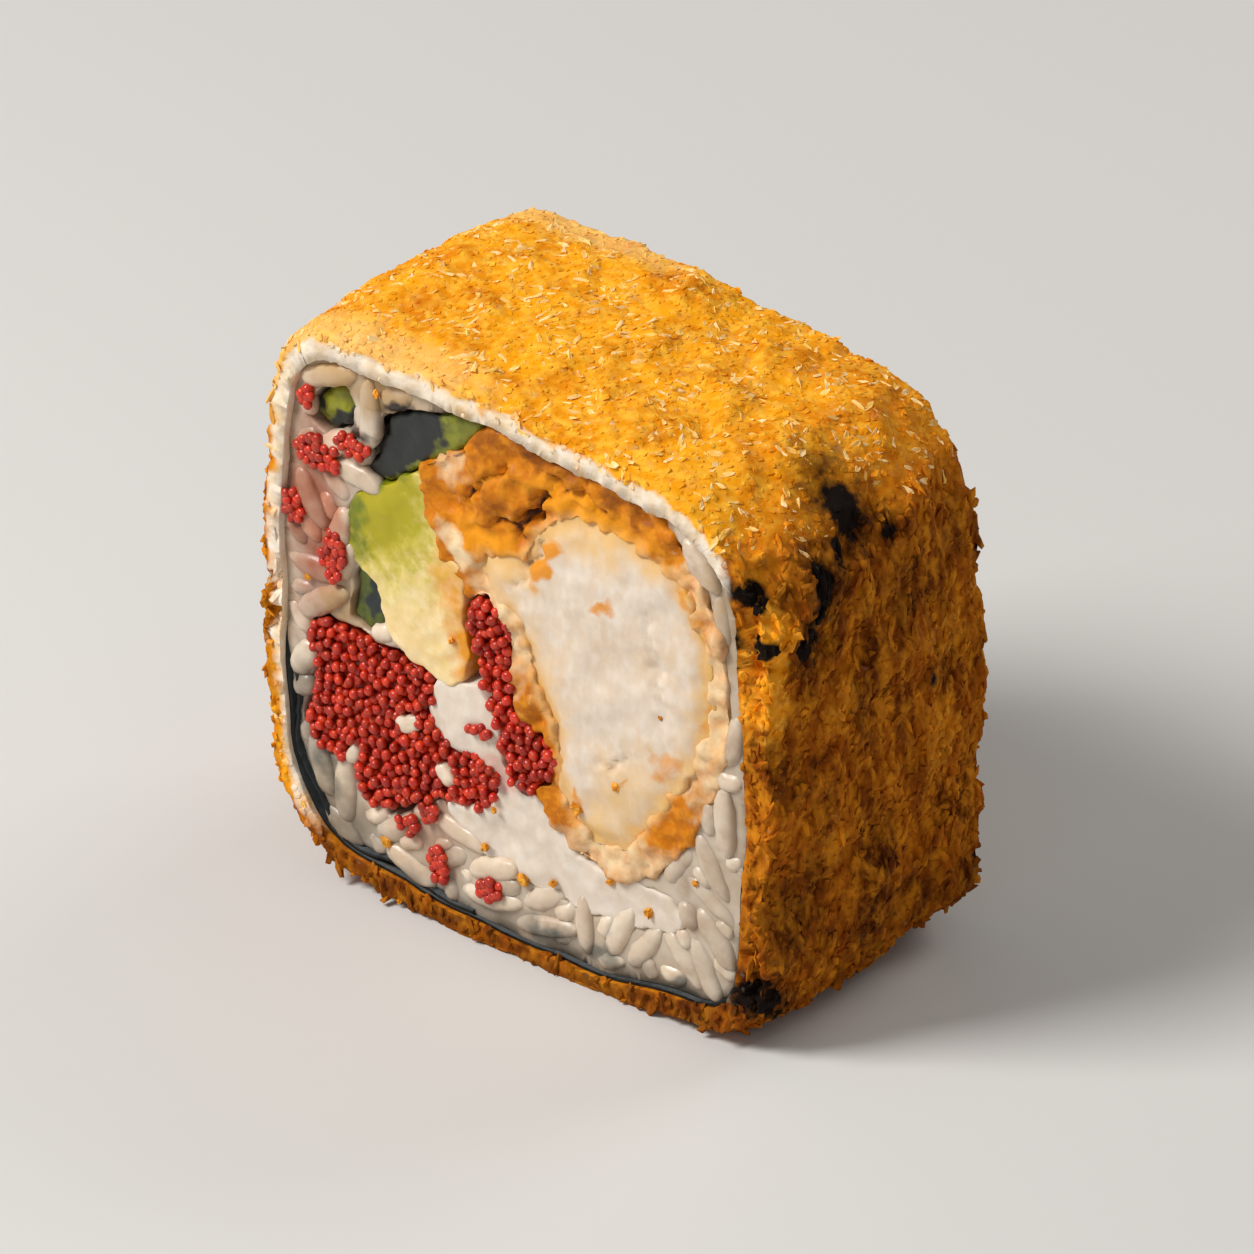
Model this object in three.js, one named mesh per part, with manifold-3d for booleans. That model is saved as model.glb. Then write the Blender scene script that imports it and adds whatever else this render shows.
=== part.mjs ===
import * as THREE from 'three';
import { mergeVertices } from 'three/addons/utils/BufferGeometryUtils.js';
import Module from 'manifold-3d';

// One cut piece of a deep-fried shrimp tempura roll, in millimetres with +Z up.
// The roll's axis runs along Y, the shown cut faces -Y, and the piece rests on a flat spot of its crust.
// From outside in: crumb coat, seaweed sheet, rice, and the fillings, which run through from cut to cut.

const wasm = await Module();
wasm.setup();

// Driving dimensions: the piece's length along the roll, and the gap between touching pieces
const depth = 25;
const gap = 0.3;
const seed = 20;
const weld = 1e-3;

// The seaweed sheet sets the section: a bowed square with a different radius at each corner
const wrap = {
  left: -21.5,
  right: 21,
  bottom: 1.3,
  top: 44.5,
  topFall: 2.2,
  radius: { bottomRight: 5, topRight: 9, topLeft: 6.5, bottomLeft: 11 },
  bow: { bottom: 1.1, right: 0.9, top: 0.5, left: 0.7 },
  ripple: { height: 0.2, pitch: 0.9, fade: 0.23 },
  thickness: 0.26,
  shortOfCut: 0.4,
  steps: 100,
};

// Crust thickness at the two cut rims, how far it swells between them, and how rough it is, side by side
const coat = {
  rim: { right: 1.2, left: 0.9, top: 1.5, bottom: 1.2 },
  swell: { right: 1.3, left: 0.8, top: 0.8, bottom: 0.7 },
  crag: { right: 1, left: 0.8, top: 0.6, bottom: 0.6 },
  fullness: 2.5,
  rows: 13,
  lumps: 150,
  lumpRadius: [1.4, 2.8],
  lumpShare: 1.4,
  speckShare: 0.9,
  rimTear: 0.7,
  innerRows: [0.94, 0, -0.94],
};

// The long crumb that stands out beside the shown cut, on the right side
const longCrumb = { y: -9.6, z: 33, halfLength: 6.5, halfWidth: 1.9, height: 1.1 };

// Rice grains and fish eggs as they show at a cut, and how many places are tried for them
const grain = {
  length: [5, 6.4],
  width: [2.5, 3],
  sides: 6,
  spacing: 3.5,
  sunk: 1.15,
  onEnd: 0.2,
  tilt: 0.12,
  offSheet: 0.6,
};
const bead = { radius: [0.95, 1.12], spacing: 2.35, sunkInRice: 0.3 };
const tries = 4000;

// How a filling rounds over at its ends, as [how far in from the outline, how far from the end]
const cutEdge = [[0.75, 0], [0.2, 0.12], [0, 0.6]];

// Each filling's outline at the shown cut as [x, z], how deep its end lies under the rim,
// how far its eggs stand proud of the outline, and how far it wanders in x and z to the far cut
const fillings = {
  roe_cluster: {
    outline: [
      [-20, 11.6], [-19, 17.6], [-19.9, 20.4], [-17.5, 21.4], [-14.5, 20.9], [-11, 20.6],
      [-7.8, 19.4], [-8.6, 17], [-6, 15.2], [-2, 14.4], [-3.4, 10.8], [-6.5, 11], [-9.4, 9.8],
      [-12.4, 7.6], [-15, 8.2], [-15.3, 10.4], [-18.4, 10.8],
    ],
    steps: 34,
    sunk: 1.1,
    proud: 0.25,
    wander: [0.4, 0.3],
  },
  roe_strand: {
    outline: [
      [-4.5, 25.6], [-3.9, 28.4], [-2, 28.7], [-0.9, 26.6], [-1, 23.6], [-0.1, 21.6], [0.1, 19.4],
      [2, 19.1], [3.4, 18.2], [2.8, 16], [0.8, 13.9], [-1, 14.7], [-1.3, 17], [-2.4, 19.6],
      [-3.3, 22], [-3.6, 23.8],
    ],
    steps: 24,
    sunk: 1,
    proud: 0.25,
    wander: [0.4, 0.2],
  },
  cucumber: {
    outline: [
      [-14.5, 34.8], [-13, 38.2], [-11.6, 41.1], [-6.2, 42.6], [-3.4, 43.2], [-4.3, 41.6],
      [-7, 39.2], [-9.4, 37.6], [-11.8, 35.6],
    ],
    steps: 22,
    sunk: 1.5,
    wander: [-0.3, 0.2],
  },
  cucumber_chip_high: {
    outline: [[-19.7, 38.2], [-18.4, 40.9], [-16.2, 41.2], [-16.1, 38.9], [-18, 37.6]],
    steps: 12,
    sunk: 1.7,
    wander: [0.3, 0],
  },
  cucumber_chip_low: {
    outline: [[-15.4, 22.4], [-15.5, 25], [-14.7, 27.2], [-13.2, 25.9], [-12.9, 23.8], [-13.9, 22.1]],
    steps: 12,
    sunk: 1.2,
    wander: [0, 0.3],
  },
  avocado: {
    outline: [
      [-9.2, 37], [-11.9, 35.2], [-14.8, 33.3], [-16.2, 30.1], [-15, 27.2], [-12.7, 24.8],
      [-12, 22.6], [-9.5, 21.3], [-6.5, 20.6], [-5, 22], [-4.9, 24.6], [-5.5, 27.6], [-5, 30],
      [-7.2, 31.2], [-8.4, 33.4],
    ],
    steps: 28,
    sunk: 0.6,
    wander: [0.5, -0.4],
  },
  prawn: {
    outline: [
      [-3.2, 32.9], [0.6, 33.2], [2.2, 35.8], [5, 38.6], [9.5, 38.8], [14.2, 37.4],
      [17, 34.2], [18.4, 29.6], [18, 25], [16, 21], [13.2, 16.8], [11, 13.2], [7.6, 12.4],
      [5.1, 14.2], [4.6, 17.2], [4, 20.4], [2.2, 23.6], [0.8, 27.6], [-1.8, 30.4],
    ],
    steps: 38,
    sunk: 0.1,
    wander: [-0.5, -0.4],
  },
  prawn_batter: {
    outline: [
      [-8.5, 34.6], [-8.7, 37.6], [-6.5, 40.1], [-3.5, 42.7], [0.6, 43.4], [4.6, 42.7],
      [9.5, 42.4], [13.3, 41.2], [16.9, 37.9], [19.1, 33.4], [19.9, 28.4], [19.6, 23.4],
      [17.6, 18.4], [14.9, 13.8], [11.4, 10.8], [7.4, 10.4], [4.2, 11.9], [2.2, 14.6],
      [0, 19.6], [-1.4, 22.6], [-2.6, 27], [-4.6, 28.6], [-5.8, 29.6], [-8, 31.8],
    ],
    steps: 46,
    sunk: 0.8,
    wander: [-0.5, -0.4],
  },
  cream_cheese: {
    outline: [
      [-8.6, 19.6], [-6, 20.7], [-3, 20.8], [0, 21.3], [3.4, 20.2], [4.4, 16.6], [4.2, 13.4],
      [4.8, 10.6], [8, 9.6], [12, 10], [15.4, 9.4], [15.9, 8], [12, 6.8], [6.5, 6.2], [1.5, 6.4],
      [-3.5, 7.8], [-6.4, 10], [-8.6, 13],
    ],
    steps: 30,
    sunk: 0.9,
    wander: [0.3, 0.3],
  },
};

// The open crevice above the cucumber, and how far it reaches in from the shown cut
const crevice = {
  outline: [[-14.9, 37.7], [-12.9, 40.6], [-8, 42.4], [-5.6, 43], [-7.4, 41.6], [-11, 39.6], [-13, 36.6]],
  steps: 18,
  reach: 7,
};

// Single eggs that lie on the rice at the shown cut
const strayRoe = [
  [-19.4, 39.9], [-19.6, 35.5], [-18.7, 34.3], [-21, 30.4], [-17.3, 28.2], [-16.7, 26.8],
  [-14.3, 38.4], [-8.2, 9.2], [-10.5, 6.9], [-11.3, 5.6], [-7.5, 5.1], [-2.4, 4.7],
];

// Seeded random numbers from 0 to 1
function makeRandom(start) {
  let state = start;
  return () => {
    state = (state + 0x6d2b79f5) | 0;
    let t = Math.imul(state ^ (state >>> 15), 1 | state);
    t = (t + Math.imul(t ^ (t >>> 7), 61 | t)) ^ t;
    return ((t ^ (t >>> 14)) >>> 0) / 4294967296;
  };
}
const random = makeRandom(seed);
const between = ([low, high]) => low + (high - low) * random();

// A side of the section, swollen outwards by bow in its middle
function bowedSide(path, x, z, bow) {
  const from = path.currentPoint;
  const along = new THREE.Vector2(x - from.x, z - from.y);
  const out = new THREE.Vector2(along.y, -along.x).normalize();
  path.quadraticCurveTo(
    (from.x + x) / 2 + out.x * bow * 2,
    (from.y + z) / 2 + out.y * bow * 2,
    x,
    z,
  );
}

// The section's outline, counterclockwise as seen from the shown cut
function wrapOutline() {
  const { left, right, bottom, top, topFall, radius, bow } = wrap;
  const path = new THREE.Path();
  path.moveTo(left + radius.bottomLeft, bottom + bow.bottom);
  bowedSide(path, right - radius.bottomRight, bottom + bow.bottom, bow.bottom);
  path.quadraticCurveTo(right, bottom + bow.bottom, right, bottom + radius.bottomRight);
  bowedSide(path, right, top - topFall - radius.topRight, bow.right);
  path.quadraticCurveTo(right, top - topFall, right - radius.topRight, top - topFall);
  bowedSide(path, left + radius.topLeft, top - bow.top, bow.top);
  path.quadraticCurveTo(left, top - bow.top, left, top - radius.topLeft);
  bowedSide(path, left, bottom + radius.bottomLeft, bow.left);
  path.quadraticCurveTo(left, bottom + bow.bottom, left + radius.bottomLeft, bottom + bow.bottom);
  const points = path.getSpacedPoints(wrap.steps);
  points.pop();
  const { height, pitch, fade } = wrap.ripple;
  return grow(points, (i) => height * Math.sin(i * pitch) * Math.cos(i * fade));
}

// A smooth closed outline through a few points, counterclockwise
function smoothOutline(places, steps) {
  const through = places.map(([x, z]) => new THREE.Vector3(x, z, 0));
  const curve = new THREE.CatmullRomCurve3(through, true, 'centripetal');
  const points = curve.getSpacedPoints(steps).map((p) => new THREE.Vector2(p.x, p.y));
  points.pop();
  return THREE.ShapeUtils.isClockWise(points) ? points.reverse() : points;
}

// The unit normals of an outline, pointing out of it
function outwards(points) {
  const count = points.length;
  return points.map((point, i) => {
    const before = points[(i + count - 1) % count];
    const after = points[(i + 1) % count];
    return new THREE.Vector2(after.y - before.y, before.x - after.x).normalize();
  });
}

// An outline moved outwards by a distance, or by one that a function gives for each point
function grow(points, distance) {
  const normals = outwards(points);
  return points.map((point, i) => {
    const d = typeof distance === 'number' ? distance : distance(i);
    return point.clone().addScaledVector(normals[i], d);
  });
}

// A closed solid through rings of [outline, y], from the shown cut to the far one
function loft(rings) {
  const count = rings[0][0].length;
  const positions = rings.flatMap(([outline, y]) => outline.flatMap((p) => [p.x, y, p.y]));
  const index = [];
  for (let r = 0; r < rings.length - 1; r++) {
    for (let i = 0; i < count; i++) {
      const a = r * count + i;
      const b = r * count + ((i + 1) % count);
      index.push(a, a + count, b + count, a, b + count, b);
    }
  }
  const last = (rings.length - 1) * count;
  const fullest = rings[Math.floor(rings.length / 2)][0];
  for (const [a, b, c] of THREE.ShapeUtils.triangulateShape(fullest, [])) {
    index.push(a, b, c, last + a, last + c, last + b);
  }
  return indexed(positions, index);
}

// A closed ring solid: profile(i) gives the closed loop of points at station i of the section
function ringSolid(stations, profile) {
  const loops = Array.from({ length: stations }, (_, i) => profile(i));
  const across = loops[0].length;
  const index = [];
  for (let i = 0; i < stations; i++) {
    for (let j = 0; j < across; j++) {
      const a = i * across + j;
      const b = i * across + ((j + 1) % across);
      const c = ((i + 1) % stations) * across + ((j + 1) % across);
      const d = ((i + 1) % stations) * across + j;
      index.push(a, b, c, a, c, d);
    }
  }
  return indexed(loops.flat(2), index);
}

function indexed(positions, index) {
  const geometry = new THREE.BufferGeometry();
  geometry.setAttribute('position', new THREE.Float32BufferAttribute(positions, 3));
  geometry.setIndex(new THREE.Uint32BufferAttribute(index, 1));
  return geometry;
}

function toSolid(geometry) {
  const bare = geometry.clone();
  bare.deleteAttribute('normal');
  bare.deleteAttribute('uv');
  const merged = mergeVertices(bare, weld / 10);
  const corners = merged.index.array;
  const kept = [];
  for (let i = 0; i < corners.length; i += 3) {
    const [a, b, c] = corners.slice(i, i + 3);
    if (a !== b && b !== c && c !== a) kept.push(a, b, c);
  }
  return new wasm.Manifold(
    new wasm.Mesh({
      numProp: 3,
      vertProperties: merged.getAttribute('position').array,
      triVerts: Uint32Array.from(kept),
    }),
  );
}

// The largest body of a solid, as a geometry: scrap that a cut sets loose is dropped
function toGeometry(solid) {
  const bodies = solid.decompose().sort((a, b) => b.volume() - a.volume());
  const mesh = bodies[0].getMesh();
  const geometry = indexed(Array.from(mesh.vertProperties), Array.from(mesh.triVerts));
  return mergeVertices(geometry, weld);
}

// Where a filling's outline lies at a place along the roll
function drifted(outline, wander, y) {
  const share = y / depth + 0.5;
  return outline.map((p) => new THREE.Vector2(p.x + wander[0] * share, p.y + wander[1] * share));
}

// A filling with its cut ends softly rounded over
function fillingSolid({ outline, steps, sunk, wander }) {
  const section = smoothOutline(outline, steps);
  const end = depth / 2 - sunk;
  const near = cutEdge.map(([inset, back]) => [inset, back - end]);
  const far = cutEdge.map(([inset, back]) => [inset, end - back]).reverse();
  return toSolid(loft([...near, ...far].map(([inset, y]) => [drifted(grow(section, -inset), wander, y), y])));
}

// The room that a filling needs: its outline with the gap round it, past both cuts
function channel({ outline, steps, wander, proud = 0 }) {
  const section = grow(smoothOutline(outline, steps), gap + proud);
  return toSolid(loft([-depth, depth].map((y) => [drifted(section, wander, y), y])));
}

function inside(outline, x, z) {
  let crossings = 0;
  outline.forEach((a, i) => {
    const b = outline[(i + 1) % outline.length];
    if (a.y > z !== b.y > z && x < a.x + ((z - a.y) / (b.y - a.y)) * (b.x - a.x)) crossings++;
  });
  return crossings % 2 === 1;
}

// Places scattered evenly inside an outline and outside others, no two nearer than spacing
function scatter(within, outside, spacing) {
  const box = new THREE.Box2().setFromPoints(within);
  const places = [];
  for (let n = 0; n < tries; n++) {
    const x = between([box.min.x, box.max.x]);
    const z = between([box.min.y, box.max.y]);
    const free = places.every((p) => Math.hypot(p.x - x, p.y - z) > spacing);
    if (free && inside(within, x, z) && !outside.some((outline) => inside(outline, x, z))) {
      places.push(new THREE.Vector2(x, z));
    }
  }
  return places;
}

// One six-sided rice grain, lying in the cut at y or standing with its end in it
function grainSolid(x, y, z) {
  const width = between(grain.width);
  const length = between(grain.length);
  const shape = new THREE.CapsuleGeometry(width / 2, length - width, 1, grain.sides);
  if (random() < grain.onEnd) {
    shape.translate(0, (-Math.sign(y) * (length - width)) / 2, 0);
  } else {
    shape.rotateZ(Math.PI / 2 + between([-grain.tilt, grain.tilt]));
  }
  shape.rotateY(between([0, Math.PI]));
  shape.translate(x, y, z);
  return toSolid(shape);
}

// One fish egg with few sides
function beadSolid(x, y, z) {
  const shape = new THREE.IcosahedronGeometry(between(bead.radius), 0);
  shape.rotateY(between([0, Math.PI]));
  shape.translate(x, y, z);
  return toSolid(shape);
}

// A heap of eggs: a core as long as the filling, with the eggs that show at both cuts fused on
function roeSolid(filling) {
  const section = smoothOutline(filling.outline, filling.steps);
  const middles = grow(section, filling.proud - bead.radius[1]);
  const end = depth / 2 - filling.sunk;
  let heap = toSolid(loft([-end, end].map((y) => [drifted(section, filling.wander, y), y])));
  for (const y of [-end, end]) {
    for (const place of scatter(drifted(middles, filling.wander, y), [], bead.spacing)) {
      heap = heap.add(beadSolid(place.x, y, place.y));
    }
  }
  return heap;
}

// The rice: a core with the grains that show at both cuts fused on, and stray eggs on the shown one
function riceSolid(bed) {
  const end = depth / 2 - grain.sunk;
  let heap = toSolid(loft([-end, end].map((y) => [grow(bed, -gap / 3), y])));
  for (const y of [-end, end]) {
    const taken = Object.values(fillings).map((f) => drifted(smoothOutline(f.outline, f.steps), f.wander, y));
    for (const place of scatter(grow(bed, -grain.offSheet), taken, grain.spacing)) {
      heap = heap.add(grainSolid(place.x, y, place.y));
    }
  }
  for (const [x, z] of strayRoe) {
    heap = heap.add(beadSolid(x, bead.sunkInRice - end - bead.radius[0], z));
  }
  const mouth = smoothOutline(crevice.outline, crevice.steps);
  const opening = toSolid(loft([[mouth, -depth], [mouth, crevice.reach - depth / 2]]));
  return heap.subtract(opening);
}

// A value between those of the four sides, by which way the outline faces
function bySide(sides, normal) {
  const across = normal.x > 0 ? sides.right : sides.left;
  const up = normal.y > 0 ? sides.top : sides.bottom;
  return across * normal.x ** 2 + up * normal.y ** 2;
}

// Crumbs as low domes at random places on the crust
function makeCrumbs(sheet) {
  const lumps = Array.from({ length: coat.lumps }, () => ({
    foot: sheet[Math.floor(random() * sheet.length)],
    y: between([-depth / 2, depth / 2]),
    radius: between(coat.lumpRadius),
    rise: random(),
  }));
  return (x, y, z) => {
    const rises = lumps.map((lump) => {
      const share = Math.hypot(lump.foot.x - x, lump.y - y, lump.foot.y - z) / lump.radius;
      return share < 1 ? lump.rise * (1 - share ** 2) : 0;
    });
    return Math.max(...rises);
  };
}

function longCrumbRise(x, y, z) {
  const across = (y - longCrumb.y) / longCrumb.halfWidth;
  const along = (z - longCrumb.z) / longCrumb.halfLength;
  return x > 0 ? longCrumb.height * Math.exp(-2 * across ** 2 - along ** 4) : 0;
}

// The crust: a ring with craggy outer rows, torn rims and a flat spot where it rests
function coatGeometry(sheet) {
  const normals = outwards(sheet);
  const inner = wrap.thickness / 2 + gap;
  const crumbRise = makeCrumbs(sheet);
  return ringSolid(sheet.length, (i) => {
    const { x, y: z } = sheet[i];
    const [rim, swell, crag] = [coat.rim, coat.swell, coat.crag].map((sides) => bySide(sides, normals[i]));
    const nearTear = between([0, coat.rimTear]);
    const farTear = between([0, coat.rimTear]);
    const at = (distance, y) => [x + normals[i].x * distance, y, Math.max(z + normals[i].y * distance, 0)];
    const loop = [];
    for (let row = 0; row < coat.rows; row++) {
      const share = (2 * row) / (coat.rows - 1) - 1;
      const y = (share * depth) / 2 + (share < 0 ? nearTear : -farTear) * share ** 4;
      const full = swell * (1 - Math.abs(share) ** coat.fullness);
      const rough = crag * (coat.speckShare * random() + coat.lumpShare * crumbRise(x, y, z));
      loop.push(at(inner + rim + full + (rough + longCrumbRise(x, y, z)) * (1 - share ** 8 / 2), y));
    }
    loop.push(at(inner + rim / 2, (depth - farTear) / 2));
    loop.push(...coat.innerRows.map((share) => at(inner, (share * depth) / 2)));
    loop.push(at(inner + rim / 2, (nearTear - depth) / 2));
    return loop;
  });
}

// The seaweed sheet: a thin ring, a little short of both cuts
function noriGeometry(sheet) {
  const normals = outwards(sheet);
  const half = wrap.thickness / 2;
  const edge = depth / 2 - wrap.shortOfCut;
  return ringSolid(sheet.length, (i) =>
    [[half, -edge], [half, edge], [-half, edge], [-half, -edge]].map(([distance, y]) => [
      sheet[i].x + normals[i].x * distance,
      y,
      sheet[i].y + normals[i].y * distance,
    ]),
  );
}

const finishes = {
  crumb_coat: { color: 0xe08c12, roughness: 0.75 },
  nori_wrap: { color: 0x14191b, roughness: 0.6 },
  rice: { color: 0xd6c8b8, roughness: 0.45 },
  roe_cluster: { color: 0xbd2422, roughness: 0.2 },
  roe_strand: { color: 0xbd2422, roughness: 0.2 },
  cucumber: { color: 0x4a6128, roughness: 0.4 },
  cucumber_chip_high: { color: 0x5f7a1e, roughness: 0.4 },
  cucumber_chip_low: { color: 0x3c5230, roughness: 0.4 },
  avocado: { color: 0xaab43a, roughness: 0.45 },
  prawn: { color: 0xe4d6c6, roughness: 0.4 },
  prawn_batter: { color: 0xdc8a14, roughness: 0.6 },
  cream_cheese: { color: 0xe2dad0, roughness: 0.5 },
};

const roll = new THREE.Group();

function addPiece(name, geometry) {
  const piece = new THREE.Mesh(geometry, new THREE.MeshStandardMaterial({ ...finishes[name], metalness: 0 }));
  piece.name = name;
  roll.add(piece);
}

const sheet = wrapOutline();
addPiece('crumb_coat', coatGeometry(sheet));
addPiece('nori_wrap', noriGeometry(sheet));

// What fills the sheet keeps clear of it and of the fillings before it, and the rice takes the rest
const bed = grow(sheet, -wrap.thickness / 2 - gap);
const withinSheet = toSolid(loft([-depth, depth].map((y) => [bed, y])));
const channels = [];
const fitted = (solid) => channels.reduce((left, room) => left.subtract(room), solid.intersect(withinSheet));

for (const [name, filling] of Object.entries(fillings)) {
  addPiece(name, toGeometry(fitted(name.startsWith('roe') ? roeSolid(filling) : fillingSolid(filling))));
  channels.push(channel(filling));
}
addPiece('rice', toGeometry(fitted(riceSolid(bed))));

// The origin is under the middle of the piece, on the surface that it rests on
const box = new THREE.Box3().setFromObject(roll);
const middle = box.getCenter(new THREE.Vector3());
roll.position.set(-middle.x, -middle.y, -box.min.z);

export default roll;
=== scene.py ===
import math
import random

import bpy
import numpy as np
from mathutils import Euler, Matrix, Vector
from mathutils.bvhtree import BVHTree


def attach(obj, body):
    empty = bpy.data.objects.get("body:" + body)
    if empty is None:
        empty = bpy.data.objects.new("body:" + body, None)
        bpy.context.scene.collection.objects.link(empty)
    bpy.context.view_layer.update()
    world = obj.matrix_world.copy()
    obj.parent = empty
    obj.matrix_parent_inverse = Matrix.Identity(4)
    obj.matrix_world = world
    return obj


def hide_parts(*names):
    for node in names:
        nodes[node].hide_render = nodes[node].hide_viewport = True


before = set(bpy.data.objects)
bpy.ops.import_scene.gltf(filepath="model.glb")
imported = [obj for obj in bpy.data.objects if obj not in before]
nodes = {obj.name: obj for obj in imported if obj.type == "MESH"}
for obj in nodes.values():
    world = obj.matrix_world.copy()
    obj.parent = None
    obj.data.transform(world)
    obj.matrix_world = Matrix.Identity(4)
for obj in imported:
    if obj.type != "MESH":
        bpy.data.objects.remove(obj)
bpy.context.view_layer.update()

# Lengths are written in millimetres and multiplied by mm where Blender wants metres
mm = 0.001
rng = random.Random(7)


# Small tools for working as by hand

def makeActive(*pieces):
    bpy.ops.object.select_all(action="DESELECT")
    for piece in pieces:
        piece.select_set(True)
    bpy.context.view_layer.objects.active = pieces[0]


def inEditMode(piece, *steps):
    makeActive(piece)
    bpy.ops.object.mode_set(mode="EDIT")
    bpy.ops.mesh.select_all(action="SELECT")
    for step in steps:
        step()
    bpy.ops.object.mode_set(mode="OBJECT")


def finishWith(piece, kind, **settings):
    makeActive(piece)
    modifier = piece.modifiers.new(kind.title(), kind)
    for key, value in settings.items():
        setattr(modifier, key, value)
    bpy.ops.object.modifier_apply(modifier=modifier.name)


def joinPieces(pieces, name):
    makeActive(*pieces)
    bpy.ops.object.join()
    joined = bpy.context.active_object
    joined.name = joined.data.name = name
    return joined


def copyOfNode(nodeName, pieceName):
    makeActive(nodes[nodeName])
    bpy.ops.object.duplicate()
    piece = bpy.context.active_object
    piece.parent = None
    for key in list(piece.keys()):
        del piece[key]
    piece.name = piece.data.name = pieceName
    piece.data.materials.clear()
    inEditMode(piece, lambda: bpy.ops.mesh.remove_doubles(threshold=0.002 * mm))
    return piece


def corners(piece):
    places = np.empty(len(piece.data.vertices) * 3)
    piece.data.vertices.foreach_get("co", places)
    return places.reshape(-1, 3)


def setCorners(piece, places):
    piece.data.vertices.foreach_set("co", places.reshape(-1))
    piece.data.update()


def smoothStep(low, high, value):
    share = np.clip((value - low) / (high - low), 0, 1)
    return share * share * (3 - 2 * share)


def outwards(piece):
    normals = np.empty(len(piece.data.vertices) * 3)
    piece.data.vertex_normals.foreach_get("vector", normals)
    return normals.reshape(-1, 3)


def setMask(piece, name, values):
    mask = piece.data.attributes.get(name) or piece.data.attributes.new(name, "FLOAT", "POINT")
    mask.data.foreach_set("value", np.asarray(values, dtype=np.float32))


def setGroup(piece, name, values):
    group = piece.vertex_groups.new(name=name)
    for index, value in enumerate(values):
        if value > 0.001:
            group.add([index], float(value), "REPLACE")


# Two flat coordinates made a little crooked, so that what is laid out in them has uneven edges
def crooked(a, b):
    awry = a + 0.35 * np.sin(1.9 * b + 1.3 * a) + 0.2 * np.sin(4.1 * b - 2.3 * a)
    return awry, b + 0.35 * np.sin(1.7 * a - 1.1 * b + 1) + 0.2 * np.sin(3.7 * a + 2.9 * b)


# Soft ellipses on the cut, each (x, z, half width, half height, turn in degrees, strength)
def ellipses(places, spots, soft=0.6):
    mask = np.zeros(len(places))
    crookedX, crookedZ = crooked(places[:, 0] / mm, places[:, 2] / mm)
    for x, z, halfWidth, halfHeight, turn, strength in spots:
        across, up = crookedX - x, crookedZ - z
        c, s = math.cos(math.radians(turn)), math.sin(math.radians(turn))
        far = np.hypot((across * c + up * s) / halfWidth, (up * c - across * s) / halfHeight)
        mask = np.maximum(mask, strength * (1 - smoothStep(1 - soft, 1 + soft, far)))
    return mask


# Along the roll from its middle: where a filling's relief starts and is full, and how far pieces may reach
cutEnds = {"relief": (10.2, 11.2), "fillingReach": 13.0, "crustReach": 13.2}


# Raises the rounded rim of a cut end to the level of the cut
def squareCut(piece, start, level, give=0.55):
    places = corners(piece)
    out = np.abs(places[:, 1]) / mm
    raised = start + (level - start) * np.tanh((out - start) / give)
    places[:, 1] = np.sign(places[:, 1]) * np.where(out > start, raised, out) * mm
    setCorners(piece, places)


# The knife's cut: past start the surface levels off within room
def levelOff(piece, start, room):
    places = corners(piece)
    out = np.abs(places[:, 1]) / mm
    level = np.minimum(out, start) + room * (1 - np.exp(-np.maximum(out - start, 0) / room))
    places[:, 1] = np.sign(places[:, 1]) * level * mm
    setCorners(piece, places)


# The seaweed's edge is hidden above this height and left of this place, and its gap is closed near the cut
hiddenEdge = {
    "above": (15, 24), "leftOf": (17, 20), "nearCut": (10.5, 11.5), "closeShare": 0.92, "leastStep": 0.03,
}


# 1 where the seaweed's edge is hidden between crust and rice, at the top and the upper left of the cut
def hidden(places):
    across, up = places[:, 0] / mm, places[:, 2] / mm
    return smoothStep(*hiddenEdge["above"], up) * (1 - smoothStep(*hiddenEdge["leftOf"], across))


# Draws what lies within reach of a surface up against it, and a little over its hidden edge
def closeUp(piece, surface, reach, over, where=None):
    places = corners(piece)
    beyond = over * hidden(places) * smoothStep(*hiddenEdge["nearCut"], np.abs(places[:, 1]) / mm) * mm
    for index, place in enumerate(places):
        near = surface.find_nearest(Vector(place), reach * mm)[0]
        if near is not None and (where is None or where(place / mm)):
            step = np.array(near) - place
            length = max(np.linalg.norm(step), hiddenEdge["leastStep"] * mm)
            places[index] += step * (hiddenEdge["closeShare"] + beyond[index] / length)
    setCorners(piece, places)


def distanceTo(piece, surface):
    return np.array([surface.find_nearest(Vector(place))[3] for place in corners(piece)]) / mm


# Shifts what shows on the cut a little this way and that, less so near the seaweed
def unevenOutline(piece, share=0.4, nearSheet=(0.5, 2.5)):
    places = corners(piece)
    x, z = places[:, 0] / mm, places[:, 2] / mm
    room = share * smoothStep(*nearSheet, distanceTo(piece, surfaces["nori_wrap"]))
    awryX, awryZ = crooked(x, z)
    places[:, 0] += (awryX - x) * room * mm
    places[:, 2] += (awryZ - z) * room * mm
    setCorners(piece, places)


def roughness(name, kind, size):
    texture = bpy.data.textures.new(name, kind)
    texture.noise_scale = size * mm
    return texture


# A node's copy with an even fine mesh, ready to be shaped
def remeshed(nodeName, pieceName, voxel, smoothing):
    piece = copyOfNode(nodeName, pieceName)
    finishWith(piece, "REMESH", mode="VOXEL", voxel_size=voxel * mm)
    finishWith(piece, "SMOOTH", iterations=smoothing, factor=0.5)
    return piece


# Relief from a list of (kind, size, height), within a vertex group if one is named
def addRelief(piece, name, relief, group="", middle=0.5):
    for index, (kind, size, height) in enumerate(relief):
        finishWith(
            piece, "DISPLACE", texture=roughness(f"{name}{index}", kind, size), texture_coords="LOCAL",
            strength=height * mm, mid_level=middle, vertex_group=group,
        )


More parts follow.
